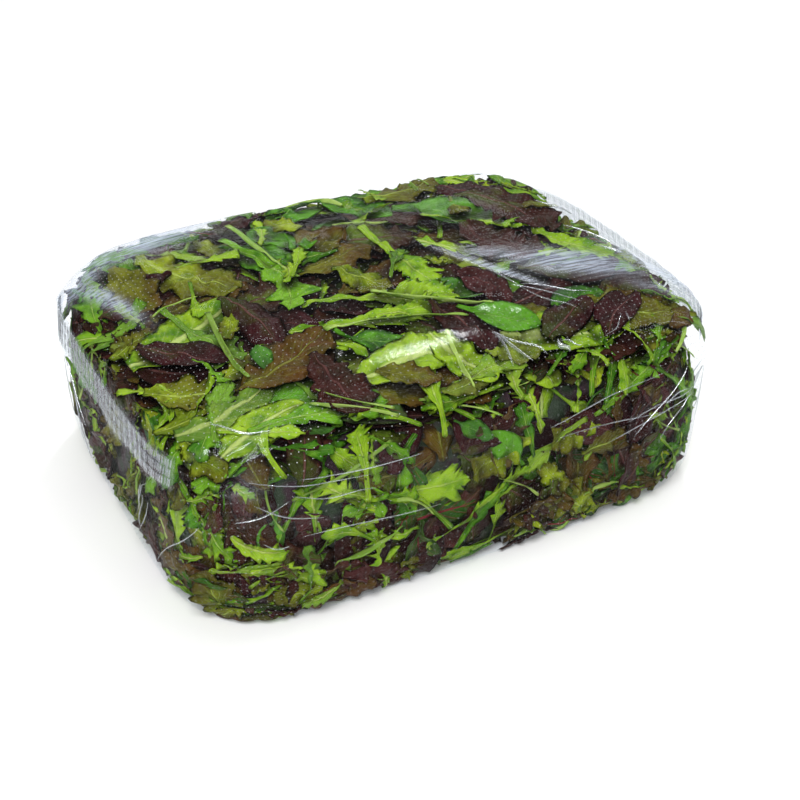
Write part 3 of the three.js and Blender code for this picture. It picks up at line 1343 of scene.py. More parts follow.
@dataclass(frozen=True)
class LeafFinish:
    """How one sort of leaf looks. Colours are linear."""

    slot: str
    deep: Colour
    fresh: Colour
    rib: Colour
    blush: Colour = (0.09, 0.012, 0.03)
    blush_amount: float = 0.0
    blush_start: float = 0.35
    rib_width: float = 0.06
    veins: float = 9.0
    vein_show: float = 0.5
    under: Colour = (0.16, 0.22, 0.05)
    roughness: float = 0.42
    relief: float = 3.2
    rib_show: float = 0.8
    under_show: float = 0.7
    blush_soft: float = 0.22
    # Painted shade: the near-black colour a leaf is darkened to where other leaves lie over it,
    # and how strongly.
    buried_in_shade: Colour = (0.013, 0.0045, 0.005)
    painted_shade_show: float = 0.86
    shine: float = 0.08

    def material(self, name: str) -> bpy.types.Material:
        """Builds the leaf's material.

        Args:
            name: The material's name.

        Returns:
            The material, with blade, midrib, side veins, blush, a paler underside and painted
            shade.
        """
        tree = ShaderTree(name)
        along, across = tree.along_across()
        tone, blush, under = (tree.attribute(key) for key in ("tone", "blush", "under"))
        depth = tree.attribute("shade")
        margin = abs(across - 0.5) * 2.0
        blotch = tree.noise(70.0, 3.0, 0.55)
        crumple = tree.noise(130.0, 2.0, 0.5)
        grain = tree.noise(700.0, 2.0)
        rib = 1.0 - (margin / ((1.12 - along) * self.rib_width * 2.0 + 0.01)).step(0.35, 1.0)
        fan = (along * self.veins - margin * self.veins * 0.32) * (2 * math.pi)
        vein = (fan + blotch * 3.0).wave() ** 10.0 * (1.0 - margin.step(0.35, 0.95)) * crumple
        # Random tone and blotches, partly painted shade: the noises that raise the bump also
        # lighten the colour, so its hollows take the deeper colour.
        shade = (tone * 0.75 + blotch * 2.3 + crumple * 1.5 - 1.775).step(0.0, 1.0)
        colour = tree.mix(shade, self.deep, self.fresh)
        if self.blush_amount > 0:
            reach = margin * 0.35 + along * 0.65 + (blotch - 0.5) * 1.3 + (blush - 0.5) * 0.7
            spread = reach.step(self.blush_start - self.blush_soft,
                                self.blush_start + self.blush_soft)
            dark = tree.mix(blotch.step(0.35, 0.7), self.blush,
                            tuple(0.42 * part for part in self.blush))
            colour = tree.mix(spread * self.blush_amount, colour, dark)
        colour = tree.mix(vein * self.vein_show, colour, self.rib)
        colour = tree.mix(rib * self.rib_show, colour, self.rib)
        pale = tree.mix(0.45, colour, self.under)
        colour = tree.mix(under * self.under_show, colour, pale)
        # Painted shade: darkens the leaf where other leaves lie over it.
        colour = tree.mix(depth * self.painted_shade_show, colour, self.buried_in_shade)
        height = crumple + blotch * 0.5 + rib * 0.2 - vein * 0.12 + grain * 0.06
        return tree.finish(tree.coat({
            "Base Color": colour,
            "Roughness": grain * 0.12 + (self.roughness - 0.06),
            "Specular IOR Level": self.shine,
            "Normal": tree.bump(height, self.relief),
        }))


FINISHES: dict[LeafSort, LeafFinish] = {
    LeafSort.SPINACH: LeafFinish("green_leaf", (0.02, 0.085, 0.005), (0.095, 0.29, 0.012),
                                 (0.2, 0.4, 0.06), rib_width=0.03, veins=5.0,
                                 under=(0.1, 0.28, 0.05), relief=3.4),
    LeafSort.ROCKET: LeafFinish("green_leaf", (0.04, 0.15, 0.005), (0.17, 0.38, 0.016),
                                (0.3, 0.48, 0.08), rib_width=0.08),
    LeafSort.MIZUNA: LeafFinish("green_leaf", (0.09, 0.23, 0.006), (0.28, 0.46, 0.018),
                                (0.42, 0.57, 0.1), rib_width=0.09),
    LeafSort.FRISEE: LeafFinish("pale_leaf", (0.16, 0.34, 0.01), (0.36, 0.55, 0.03),
                                (0.54, 0.64, 0.16), rib_width=0.12),
    LeafSort.OAK: LeafFinish("pale_leaf", (0.09, 0.14, 0.005), (0.33, 0.43, 0.017),
                             (0.38, 0.47, 0.08), (0.085, 0.035, 0.01), 0.7, 0.5,
                             relief=4.6),
    LeafSort.COS: LeafFinish("pale_leaf", (0.07, 0.18, 0.006), (0.28, 0.44, 0.018),
                             (0.5, 0.6, 0.18), rib_width=0.14, veins=7.0, vein_show=0.4,
                             relief=4.2),
    LeafSort.LOLLO: LeafFinish("red_leaf", (0.05, 0.08, 0.007), (0.1, 0.16, 0.012),
                               (0.11, 0.04, 0.035), (0.046, 0.005, 0.0075), 0.93, 0.24,
                               under=(0.1, 0.025, 0.022), relief=4.8),
    LeafSort.RED_COS: LeafFinish("red_leaf", (0.035, 0.045, 0.008), (0.075, 0.09, 0.012),
                                 (0.13, 0.05, 0.045), (0.04, 0.005, 0.0085), 0.95, 0.13,
                                 vein_show=0.2, under=(0.11, 0.032, 0.03), roughness=0.36,
                                 relief=4.2),
    LeafSort.BRONZE: LeafFinish("bronze_leaf", (0.075, 0.073, 0.006), (0.185, 0.195, 0.014),
                                (0.2, 0.2, 0.03), (0.095, 0.028, 0.007), 0.8, 0.38,
                                rib_width=0.05, under=(0.14, 0.1, 0.05), relief=4.2),
    LeafSort.CHARD: LeafFinish("red_leaf", (0.016, 0.07, 0.006), (0.05, 0.17, 0.012),
                               (0.3, 0.014, 0.045), (0.05, 0.006, 0.01), 0.6, 0.65,
                               vein_show=0.9, under=(0.08, 0.06, 0.04), relief=3.8),
    LeafSort.STEM: LeafFinish("pale_leaf", (0.2, 0.36, 0.04), (0.42, 0.57, 0.13),
                              (0.5, 0.6, 0.18), rib_width=0.02, vein_show=0.0, relief=0.5),
}

LOW_MIX: dict[LeafSort, float] = {
    LeafSort.RED_COS: 3.0, LeafSort.LOLLO: 3.0, LeafSort.BRONZE: 1.5, LeafSort.SPINACH: 1.5,
    LeafSort.OAK: 1.5, LeafSort.COS: 1.0, LeafSort.CHARD: 1.0, LeafSort.MIZUNA: 1.0,
}
HIGH_MIX: dict[LeafSort, float] = {
    LeafSort.SPINACH: 1.9, LeafSort.ROCKET: 1.6, LeafSort.MIZUNA: 2.6, LeafSort.FRISEE: 1.2,
    LeafSort.OAK: 2.0, LeafSort.COS: 1.0, LeafSort.LOLLO: 3.4, LeafSort.RED_COS: 3.6,
    LeafSort.BRONZE: 2.8, LeafSort.CHARD: 0.8, LeafSort.STEM: 0.8,
}
BIT_MIX: dict[LeafSort, float] = {
    LeafSort.MIZUNA: 3.0, LeafSort.FRISEE: 2.0, LeafSort.OAK: 1.2, LeafSort.STEM: 2.0,
    LeafSort.ROCKET: 2.0, LeafSort.SPINACH: 0.5,
}

# The leaves that show plainly on the top, from the lowest to the highest: place and length in
# millimetres, heading in degrees from +X, and how fresh the green is. Where a leaf is seen, its
# foot and its tip are pixels of the photo, and its height stands instead of a place.
SPOTS: list[Spot] = [
    Spot(LeafSort.RED_COS, -45, 112, 15, 60),
    Spot(LeafSort.LOLLO, -160, 42, -20, 66),
    Spot(LeafSort.RED_COS, -160, -45, -30, 82),
    Spot(LeafSort.RED_COS, -95, -10, -42, 84),
    Spot(LeafSort.LOLLO, -72, 8, 10, 66),
    Spot(LeafSort.BRONZE, -15, 62, 5, 74),
    Spot(LeafSort.LOLLO, 12, 46, -15, 64),
    Spot(LeafSort.BRONZE, -25, 30, 12, 72),
    Spot(LeafSort.RED_COS, 120, 78, -55, 84),
    Spot(LeafSort.RED_COS, 131, 30, -62, 82),
    Spot(LeafSort.LOLLO, 45, 74, -12, 68),
    Spot(LeafSort.RED_COS, 40, -36, -72, 74),
    Spot(LeafSort.RED_COS, 78, -60, 12, 64),
    Spot(LeafSort.LOLLO, 6, -78, -58, 72),
    Spot(LeafSort.RED_COS, 122, -44, -15, 78),
    Spot(LeafSort.LOLLO, 99, -122, -60, 62),
    Spot(LeafSort.RED_COS, 150, -86, 5, 66),
    Spot(LeafSort.LOLLO, -120, -84, 15, 66),
    Spot(LeafSort.CHARD, -84, -116, -48, 84, 0.2),
    Spot(LeafSort.BRONZE, -120, 22, 8, 70),
    Spot(LeafSort.BRONZE, -46, -119, -8, 76),
    Spot(LeafSort.BRONZE, 158, -112, -50, 64),
    Spot(LeafSort.BRONZE, -5, 0, 20, 62),
    Spot(LeafSort.SPINACH, -17, 118, 18, 66, 0.6),
    Spot(LeafSort.SPINACH, 27, 106, -48, 72, 0.55),
    Spot(LeafSort.OAK, 74, 110, 10, 66, 0.5),
    Spot(LeafSort.OAK, -78, 84, -70, 52, 0.6),
    Spot(LeafSort.SPINACH, -58, 62, -62, 68, 0.4),
    Spot(LeafSort.SPINACH, -44, 86, -62, 52, 0.5),
    Spot(LeafSort.OAK, -117, 54, -58, 84, 0.75),
    Spot(LeafSort.OAK, -168, -70, -22, 66, 0.8),
    Spot(LeafSort.COS, -148, -12, 18, 92, 0.5),
    Spot(LeafSort.ROCKET, -132, -24, -70, 90, 0.6),
    Spot(LeafSort.OAK, -119, -60, 15, 46, 0.7),
    Spot(LeafSort.BRONZE, -97, -74, 24, 70),
    Spot(LeafSort.MIZUNA, -68, -62, -18, 84, 0.6),
    Spot(LeafSort.MIZUNA, -50, -84, -48, 76, 0.7),
    Spot(LeafSort.SPINACH, -128, -104, 4, 70, 0.95),
    Spot(LeafSort.ROCKET, -96, -110, -62, 66, 0.8),
    Spot(LeafSort.COS, -164, -108, 12, 66, 0.1),
    Spot(LeafSort.COS, -152, -128, 18, 62, 0.7),
    Spot(LeafSort.ROCKET, -112, -128, -4, 84, 0.7),
    Spot(LeafSort.SPINACH, -42, -72, -40, 52, 0.4),
    Spot(LeafSort.COS, -30, -96, 8, 84, 0.9),
    Spot(LeafSort.COS, -3, -112, -74, 58, 1),
    Spot(LeafSort.SPINACH, 80, 58, -32, 76, 0.7),
    Spot(LeafSort.MIZUNA, 95, 36, -25, 84, 0.8),
    Spot(LeafSort.FRISEE, 70, 8, -22, 74, 0.5),
    Spot(LeafSort.MIZUNA, 98, -6, -30, 78, 0.6),
    Spot(LeafSort.MIZUNA, 136, -8, -62, 78, 0.8),
    Spot(LeafSort.MIZUNA, 18, 14, -84, 98, 0.9),
    Spot(LeafSort.SPINACH, 28, -36, -32, 54, 0.5),
    Spot(LeafSort.OAK, 42, -80, -5, 64, 0.6),
    Spot(LeafSort.SPINACH, 90, -85, 12, 58, 0.1),
    Spot(LeafSort.COS, 72, -112, -14, 84, 0.7),
    Spot(LeafSort.OAK, 124, -108, -20, 72, 0.5),
    Spot(LeafSort.MIZUNA, -2, -134, 8, 70, 0.5),
    Spot(LeafSort.OAK, 24, -112, -50, 48, 0.5),
    Spot(LeafSort.MIZUNA, -16, -24, -20, 100, 0.8),
    Spot(LeafSort.MIZUNA, -32, -44, -8, 100, 0.7),
    Spot(LeafSort.ROCKET, -58, 34, -86, 104, 0.8),
    Spot.seen(LeafSort.RED_COS, (214, 224), (253, 201), 136, 0.4),
    Spot.seen(LeafSort.RED_COS, (103, 292), (157, 279), 130, 0.4),
    Spot.seen(LeafSort.RED_COS, (225, 293), (285, 334), 138, 0.3),
    Spot.seen(LeafSort.RED_COS, (112, 350), (210, 368), 131, 0.5),
    Spot.seen(LeafSort.BRONZE, (236, 390), (328, 334), 137, 0.5),
    Spot.seen(LeafSort.LOLLO, (312, 370), (362, 420), 130, 0.2),
    Spot.seen(LeafSort.LOLLO, (465, 182), (566, 217), 136, 0.2),
    Spot.seen(LeafSort.LOLLO, (452, 224), (540, 250), 137, 0.2),
    Spot.seen(LeafSort.RED_COS, (458, 264), (512, 294), 138, 0.3),
    Spot.seen(LeafSort.RED_COS, (438, 298), (502, 344), 136, 0.6),
    Spot.seen(LeafSort.RED_COS, (549, 348), (592, 312), 126, 0.2),
    Spot.seen(LeafSort.RED_COS, (612, 352), (640, 312), 118, 0.2),
    Spot.seen(LeafSort.BRONZE, (298, 252), (344, 228), 138, 0.4),
    Spot.seen(LeafSort.BRONZE, (378, 380), (446, 388), 130, 0.6),
    Spot.seen(LeafSort.BRONZE, (90, 272), (132, 312), 129, 0.6),
    Spot(LeafSort.SPINACH, 37, -81, -48, 54, 0.95),
    Spot(LeafSort.OAK, -15, -2, -63, 44, 0.3),
    Spot(LeafSort.STEM, -7, -115, -99, 50, 1),
    Spot(LeafSort.STEM, -126, -42, -94, 74, 0.2),
    Spot(LeafSort.STEM, -20, -52, -10, 92, 0.3),
    Spot(LeafSort.STEM, 10, -46, -36, 76, 0.8),
    Spot(LeafSort.STEM, -57, 58, -80, 88, 0.3),
]


@dataclass(frozen=True)
class SheenPatch:
    """A patch of painted reflection, a milky sheen on the film: middle, half length, half width,
    heading and strength.
    """

    x: float
    y: float
    long: float
    wide: float
    heading: float
    strength: float


@dataclass(frozen=True)
class Pleat:
    """A sharp pleat of the film: its two ends over the top, its height and half its width."""

    x0: float
    y0: float
    x1: float
    y1: float
    height: float
    half: float


# Painted reflections: milky patches painted on the film where it caught the lights.
SHEEN_PATCHES: tuple[SheenPatch, ...] = (
    SheenPatch(118, -47, 42, 18, -29, 1.5),
    SheenPatch(78, -18, 30, 8, -30, 0.8),
    SheenPatch(62, -32, 42, 4, -62, 1),
    SheenPatch(170, -54, 38, 15, -64, 1.3),
    SheenPatch(150, -88, 26, 9, -30, 0.8),
    SheenPatch(-114, 109, 58, 19, 16, 1.9),
    SheenPatch(-168, 88, 24, 13, 50, 1.3),
    SheenPatch(-163, 52, 42, 6, -76, 1.4),
    SheenPatch(-168, -138, 22, 8, 12, 1),
)

PLEATS: tuple[Pleat, ...] = (
    Pleat(22, -98, 24, -138, 1.5, 0.7),
    Pleat(23, -99, 38, -139, 1.6, 0.8),
    Pleat(24, -100, 50, -137, 1.2, 0.5),
    Pleat(60, -124, 67, -141, 2, 2.3),
    Pleat(63, -127, 78, -136, 1, 0.5),
    Pleat(98, -134, 116, -117, 0.9, 0.4),
    Pleat(116, -117, 121, -124, 1, 0.5),
    Pleat(46, 2, 66, -58, 0.9, 0.9),
    Pleat(60, -56, 92, -92, 0.6, 0.35),
    Pleat(62, -60, 84, -99, 0.6, 0.35),
    Pleat(66, -58, 104, -84, 0.6, 0.35),
    Pleat(168, -84, 176, -98, 1, 0.5),
    Pleat(-182, -118, -150, -139, 1.2, 0.8),
    Pleat(150, -30, 186, -48, 0.9, 0.4),
    Pleat(146, 4, 188, -22, 0.8, 0.35),
    Pleat(152, 48, 187, 30, 0.9, 0.4),
    Pleat(168, -70, 188, -66, 1.1, 0.45),
)


@dataclass
class PackedCore:
    """The leaves deep inside, as one lumpy closed body under the loose ones, coloured near black
    as painted shade for the depths of the heap.
    """

    heap: LeafHeap
    cells: tuple[int, int, int] = (60, 46, 24)
    lumps: float = 2.4
    lump_rates: tuple[float, float] = (0.11, 0.23)
    least_height: float = 1.0
    # Painted shade: near-black green and red that stand for the shaded depths between the loose
    # leaves.
    green: Colour = (0.012, 0.03, 0.008)
    red: Colour = (0.03, 0.008, 0.016)
    roughness: float = 0.7

    def build(self) -> bpy.types.Object:
        """Makes the core and dresses it.

        Returns:
            The piece.
        """
        lattice = CubeLattice(self.cells)
        box = self.heap.box
        units = box.onto_skin(lattice.cubes)
        skin, normals = box.points(units), box.normals(units)
        wobble = sum(
            np.sin(skin[:, k] * rate + k) * np.sin(skin[:, (k + 1) % 3] * rate * 1.3 + 2 * k)
            for k in range(3)
            for rate in self.lump_rates
        )
        sunk = self.heap.depth(units, np.zeros(len(units))) + self.lumps * 0.2 * wobble
        points = skin + normals * (self.heap.bulge(skin, normals) + sunk)[:, None]
        points[:, 2] = np.maximum(points[:, 2], self.least_height)
        thing = mesh_object("packed_core", points, lattice.quads)
        tree = ShaderTree("packed_core_painted_shade")
        patch = tree.noise(60.0, 3.0)
        thing.data.materials.append(tree.finish(tree.coat({
            "Base Color": tree.mix(patch.step(0.4, 0.6), self.green, self.red),
            "Roughness": self.roughness,
            "Normal": tree.bump(tree.noise(220.0, 4.0), 2.0),
        })))
        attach(thing, BODY)
        log.info("packed_core: %d faces", len(lattice.quads))
        return thing


@dataclass(frozen=True)
class FilmFinish:
    """The clear film: a sheer glossy skin, milky where it is crimped, with painted reflection as
    a milky sheen where it is slack.
    """

    slot: str = "film"
    slack_sheen: float = 0.4
    gloss: float = 0.14
    most_mirror: float = 0.2
    roughness: float = 0.08
    streak_turn: float = 32.0
    index: float = 1.42
    through: Colour = (0.95, 0.96, 0.97)
    clear_tint: Colour = (0.95, 0.97, 1.0)
    painted_sheen_tint: Colour = (0.72, 0.82, 1.0)

    def material(self, name: str, haze: float = 0.0) -> bpy.types.Material:
        """Builds the film's material.

        Args:
            name: The material's name.
            haze: How much of the surface is milky all over.

        Returns:
            A mix of clear and glossy whose share grows towards grazing views.
        """
        tree = ShaderTree(name)
        slack = tree.attribute("slack")
        crinkle = tree.noise(55.0, 5.0, 0.62)
        drawn = tree.drawn_noise(self.streak_turn, 20.0, 22.0)
        fine = tree.noise(330.0, 3.0, 0.55)
        normal = tree.bump(crinkle * 0.28 + fine * 0.04 + drawn * slack * 0.5, 0.9)
        facing = tree.node("ShaderNodeFresnel", {}, {"IOR": self.index, "Normal": normal})
        # The slack mask paints a milky bluish sheen in streaks, standing for reflections; it also
        # streaks the bump and roughens the film.
        streak = drawn.step(0.4, 0.6) * 0.68 + 0.32
        mirror = Value(tree, facing.outputs[0]).capped(self.most_mirror) * self.gloss
        share = mirror + haze + slack * streak * self.slack_sheen
        milky = slack.capped(1.0)
        shine = tree.coat({
            "Base Color": tree.mix(milky, self.clear_tint, self.painted_sheen_tint),
            "Metallic": milky * -0.7 + 0.85,
            "Roughness": fine * 0.08 + milky * 0.25 + (self.roughness - 0.04),
            "Normal": normal,
        })
        clear = tree.node("ShaderNodeBsdfTransparent", {}, {0: (*self.through, 1.0)})
        mixed = tree.node("ShaderNodeMixShader", {}, {0: share, 1: clear.outputs[0], 2: shine})
        return tree.finish(mixed.outputs[0])


@dataclass
class FilmBag:
    """The film drawn over the leaves, with slack tents at the ends and folds at the corners."""

    box: SoftBox
    heap: LeafHeap
    finish: FilmFinish
    cells: tuple[int, int, int] = (190, 145, 64)
    gap: float = 0.45
    least: float = -5.0
    widen_cells: int = 2
    spread_rounds: int = 3
    taut_rounds: int = 46
    soften_rounds: int = 2
    tent_slack: float = 0.2
    ripple: float = 0.7
    fold_slack: float = 0.25
    trough: float = 0.45
    trough_width: float = 2.2
    corner_fold: tuple[float, float] = (3.4, 3.2)
    corner_paths: tuple = (((0.97, 0.86, 112.0), (0.62, 0.84, 136.0)),
                           ((0.98, 0.92, 104.0), (0.66, 0.98, 118.0)),
                           ((0.99, 0.88, 92.0), (0.93, 0.95, 30.0)))
    fan_count: int = 6
    fan_start: tuple = ((0.84, 0.99), (0.3, 0.95), (104.0, 124.0))
    fan_run: tuple[float, float] = (30.0, 110.0)
    fan_stray: float = 26.0
    fan_climb: tuple[float, float] = (4.0, 18.0)
    fan_height: tuple[float, float] = (0.6, 1.7)
    fan_width: tuple[float, float] = (1.8, 3.4)
    sheen_rise: tuple[float, float] = (90.0, 108.0)
    foot_rise: float = 12.0
    rng: np.random.Generator = field(default_factory=lambda: np.random.default_rng(733))

    def __post_init__(self) -> None:
        """Lays out the film's grid over the box."""
        self.lattice = CubeLattice(self.cells)
        self.units = self.box.onto_skin(self.lattice.cubes)
        self.skin = self.box.points(self.units)
        self.normals = self.box.normals(self.units)
        self.rise = np.zeros(len(self.units))
        self.slack = np.zeros(len(self.units))

    def drape(self) -> None:
        """Draws the film over the leaves: taut between the points that push it out."""
        bulge = self.heap.bulge(self.skin, self.normals)
        reached = self.heap.top.widened(self.widen_cells).under(self.units)
        held = self.heap.depth(self.units, reached)
        support = self.lattice.neighbour_most(np.maximum(held, self.least) + bulge + self.gap)
        rise = support
        for _ in range(self.spread_rounds):
            rise = self.lattice.neighbour_most(rise)
        for _ in range(self.taut_rounds):
            rise = np.maximum(support, self.lattice.neighbour_mean(rise))
        for _ in range(self.soften_rounds):
            rise = 0.5 * rise + 0.5 * self.lattice.neighbour_mean(rise)
        self.rise = rise

    def draw_tents(self) -> None:
        """Draws the slack film at each end out to its straight edge."""
        lift = self.heap.tent.lift(self.skin, self.normals)
        loose = smooth(lift - self.rise, 1.0, 8.0)
        # Where the tent hangs loose, the slack mask also paints a milky sheen there, as painted
        # reflection.
        self.slack = np.maximum(self.slack, self.tent_slack * loose)
        y = self.skin[:, 1]
        ripple = self.ripple * np.sin(y * 0.23) * np.sin(y * 0.071 + 1.0)
        self.rise = np.maximum(self.rise, lift + ripple * smooth(lift, 1.0, 6.0))

    def fold(self, start: np.ndarray, finish: np.ndarray, height: float, width: float) -> None:
        """Raises one crease of slack film.

        Args:
            start: Where it begins, in millimetres.
            finish: Where it ends.
            height: How far it stands up.
            width: Half its width.
        """
        run = finish - start
        share = np.clip((self.skin - start).dot(run) / run.dot(run), 0.0, 1.0)
        away = np.linalg.norm(self.skin - (start + share[:, None] * run), axis=1)
        ridge = np.exp(-((away / width) ** 2))
        trough = self.trough * np.exp(-((away / (self.trough_width * width)) ** 2))
        fade = np.sin(math.pi * (0.06 + 0.9 * share)) ** 0.8
        self.rise += height * (ridge - trough) * fade
        # Along the ridge the slack mask paints a milky sheen, as painted reflection of the light
        # the crease catches.
        self.slack = np.maximum(self.slack, self.fold_slack * ridge)

    def crease(self) -> None:
        """Adds the folds that fan from the ends of each straight edge, and a few over the top."""
        rng = self.rng
        half = np.array((self.box.length / 2, self.box.width / 2, 1.0))
        for end in (-1.0, 1.0):
            for flank in (-1.0, 1.0):
                sides = np.array((end, flank, 1.0)) * half
                for start, finish in self.corner_paths:
                    self.fold(np.array(start) * sides, np.array(finish) * sides,
                              *self.corner_fold)
                for _ in range(self.fan_count):
                    start = np.array([rng.uniform(*span) for span in self.fan_start]) * sides
                    finish = start + np.array((-end * rng.uniform(*self.fan_run),
                                               rng.normal(0.0, self.fan_stray),
                                               rng.uniform(*self.fan_climb)))
                    self.fold(start, finish, rng.uniform(*self.fan_height),
                              rng.uniform(*self.fan_width))

    def sheen_patch(self) -> None:
        """Paints milky patches of reflection on the film, at the listed places high over the
        leaves.
        """
        high = smooth(self.skin[:, 2], *self.sheen_rise)
        for sheen_patch in SHEEN_PATCHES:
            turn = math.radians(sheen_patch.heading)
            dx, dy = self.skin[:, 0] - sheen_patch.x, self.skin[:, 1] - sheen_patch.y
            ahead = (dx * math.cos(turn) + dy * math.sin(turn)) / sheen_patch.long
            aside = (dy * math.cos(turn) - dx * math.sin(turn)) / sheen_patch.wide
            patch = np.exp(-((ahead**2 + aside**2) ** 1.3)) * high * sheen_patch.strength
            self.slack = np.maximum(self.slack, patch)

    def points_at(self, units: np.ndarray, over: float = 0.0) -> tuple[np.ndarray, np.ndarray]:
        """The film's points and outward directions at any shares.

        Args:
            units: Unit shares, one row each.
            over: How far over the film, in millimetres.

        Returns:
            Points in millimetres, and directions.
        """
        normals = self.box.normals(units)
        rise = self.lattice.at(units, self.rise) + over
        points = self.box.points(units) + normals * rise[:, None]
        points[:, 2] = np.maximum(points[:, 2], 0.0)
        return points, normals

    def build(self) -> bpy.types.Object:
        """Makes the film's mesh and dresses it.

        Returns:
            The piece, which stands for the solid.
        """
        self.drape()
        self.draw_tents()
        self.crease()
        self.sheen_patch()
        self.rise = self.rise * smooth(self.skin[:, 2], 0.0, self.foot_rise)
        points = self.skin + self.normals * self.rise[:, None]
        points[:, 2] = np.maximum(points[:, 2], 0.0)
        thing = mesh_object("clear_film", points, self.lattice.quads)
        add_attribute(thing, "slack", self.slack)
        thing.data.materials.append(self.finish.material("clear_film_finish"))
        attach(thing, BODY)
        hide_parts(NODE)
        log.info("clear_film: %d faces", len(self.lattice.quads))
        return thing


@dataclass
class FilmPleats:
    """The sharp little folds where the film is pinched, which catch the light."""

    film: FilmBag
    stations: int = 28
    flank_count: int = 7
    flank_start: tuple = ((120.0, 176.0), (64.0, 116.0))
    flank_run: tuple = ((16.0, 90.0), (-44.0, 10.0))
    end_count: int = 5
    end_start: tuple = ((60.0, 128.0), (64.0, 84.0))
    end_run: tuple = ((0.0, 50.0), (-52.0, -20.0))
    heights: tuple[float, float] = (0.5, 0.9)
    halves: tuple[float, float] = (0.25, 0.5)
    sway: float = 1.6
    haze: float = 0.34
    slack: float = 0.1
    profile: tuple[tuple[float, float], ...] = (
        (-1.0, -0.25), (-0.35, 0.75), (0.0, 1.0), (0.35, 0.75), (1.0, -0.25),
    )

    def courses(self) -> list[tuple[np.ndarray, np.ndarray, float, float]]:
        """Finds the courses of all pleats.

        Returns:
            Where each starts and ends, its height and its half width, in millimetres.
        """
        box, rng = self.film.box, self.film.rng
        top = box.belt + box.rise
        found = [
            (np.array((pleat.x0, pleat.y0, top)), np.array((pleat.x1, pleat.y1, top)),
             pleat.height, pleat.half)
            for pleat in PLEATS
        ]

        def pinch(start: tuple[float, ...], run: tuple[float, ...]) -> None:
            """Adds one pleat of any height and width.

            Args:
                start: Where it begins, in millimetres.
                run: How far it goes along each axis.
            """
            first = np.array(start)
            found.append((first, first + np.array(run), rng.uniform(*self.heights),
                          rng.uniform(*self.halves)))

        for end in (-1.0, 1.0):
            for flank in (-1.0, 1.0):
                for _ in range(self.flank_count):
                    x, z = [rng.uniform(*span) for span in self.flank_start]
                    along, up = [rng.uniform(*span) for span in self.flank_run]
                    pinch((end * x, flank * box.width / 2, z), (-end * along, 0.0, up))
                for _ in range(self.end_count):
                    y, z = [rng.uniform(*span) for span in self.end_start]
                    along, up = [rng.uniform(*span) for span in self.end_run]
                    pinch((end * box.length / 2, flank * y, z), (0.0, -flank * along, up))
        return found

    def rings(self, start: np.ndarray, finish: np.ndarray, height: float,
              half: float) -> np.ndarray:
        """One pleat's points, station by station, round its flat little section.

        Args:
            start: Where it begins, in millimetres.
            finish: Where it ends.
            height: How far it stands off the film.
            half: Half its width.

        Returns:
            Points in millimetres, by station and place round the section.
        """
        box, rng = self.film.box, self.film.rng
        share = np.linspace(0.0, 1.0, self.stations)
        sway = np.sin(share * math.pi * rng.uniform(1.0, 2.2) + rng.uniform(0, 3)) * self.sway
        swell = np.sin(math.pi * (0.03 + 0.94 * share)) ** 0.6
        line = start + (finish - start) * share[:, None]
        facing = box.normals(box.onto_skin(box.shares(line)))
        across = unit(np.cross(facing, unit(finish - start)))
        found = []
        for side, up in self.profile:
            shift = sway + side * half * swell
            units = box.onto_skin(box.shares(line + across * shift[:, None]))
            base, normals = self.film.points_at(units)
            found.append(base + normals * (up * height * swell)[:, None])
        return np.stack(found, 1)

    def build(self) -> bpy.types.Object:
        """Makes all pleats in one piece.

        Returns:
            The piece.
        """
        points, faces = [], []
        start = 0
        for course in self.courses():
            grid = self.rings(*course)
            count, wide = grid.shape[:2]
            numbers = start + np.arange(count * wide).reshape(count, wide)
            closed = np.concatenate((numbers, numbers[:, :1]), axis=1)
            a, b = closed[:-1, :-1].ravel(), closed[1:, :-1].ravel()
            c, d = closed[1:, 1:].ravel(), closed[:-1, 1:].ravel()
            faces += [np.stack((a, b, c), -1), np.stack((a, c, d), -1)]
            fan = np.array([(0, k, k + 1) for k in range(1, wide - 1)])
            faces += [numbers[0][fan], numbers[-1][fan[:, ::-1]]]
            points.append(grid.reshape(-1, 3))
            start += count * wide
        thing = mesh_object("film_pleats", np.concatenate(points), np.concatenate(faces))
        # A little slack: a faint painted milky sheen on the pleats.
        add_attribute(thing, "slack", np.full(start, self.slack))
        thing.data.materials.append(self.film.finish.material("film_pleats_finish", self.haze))
        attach(thing, BODY)
        log.info("film_pleats: %d faces", len(thing.data.polygons))
        return thing


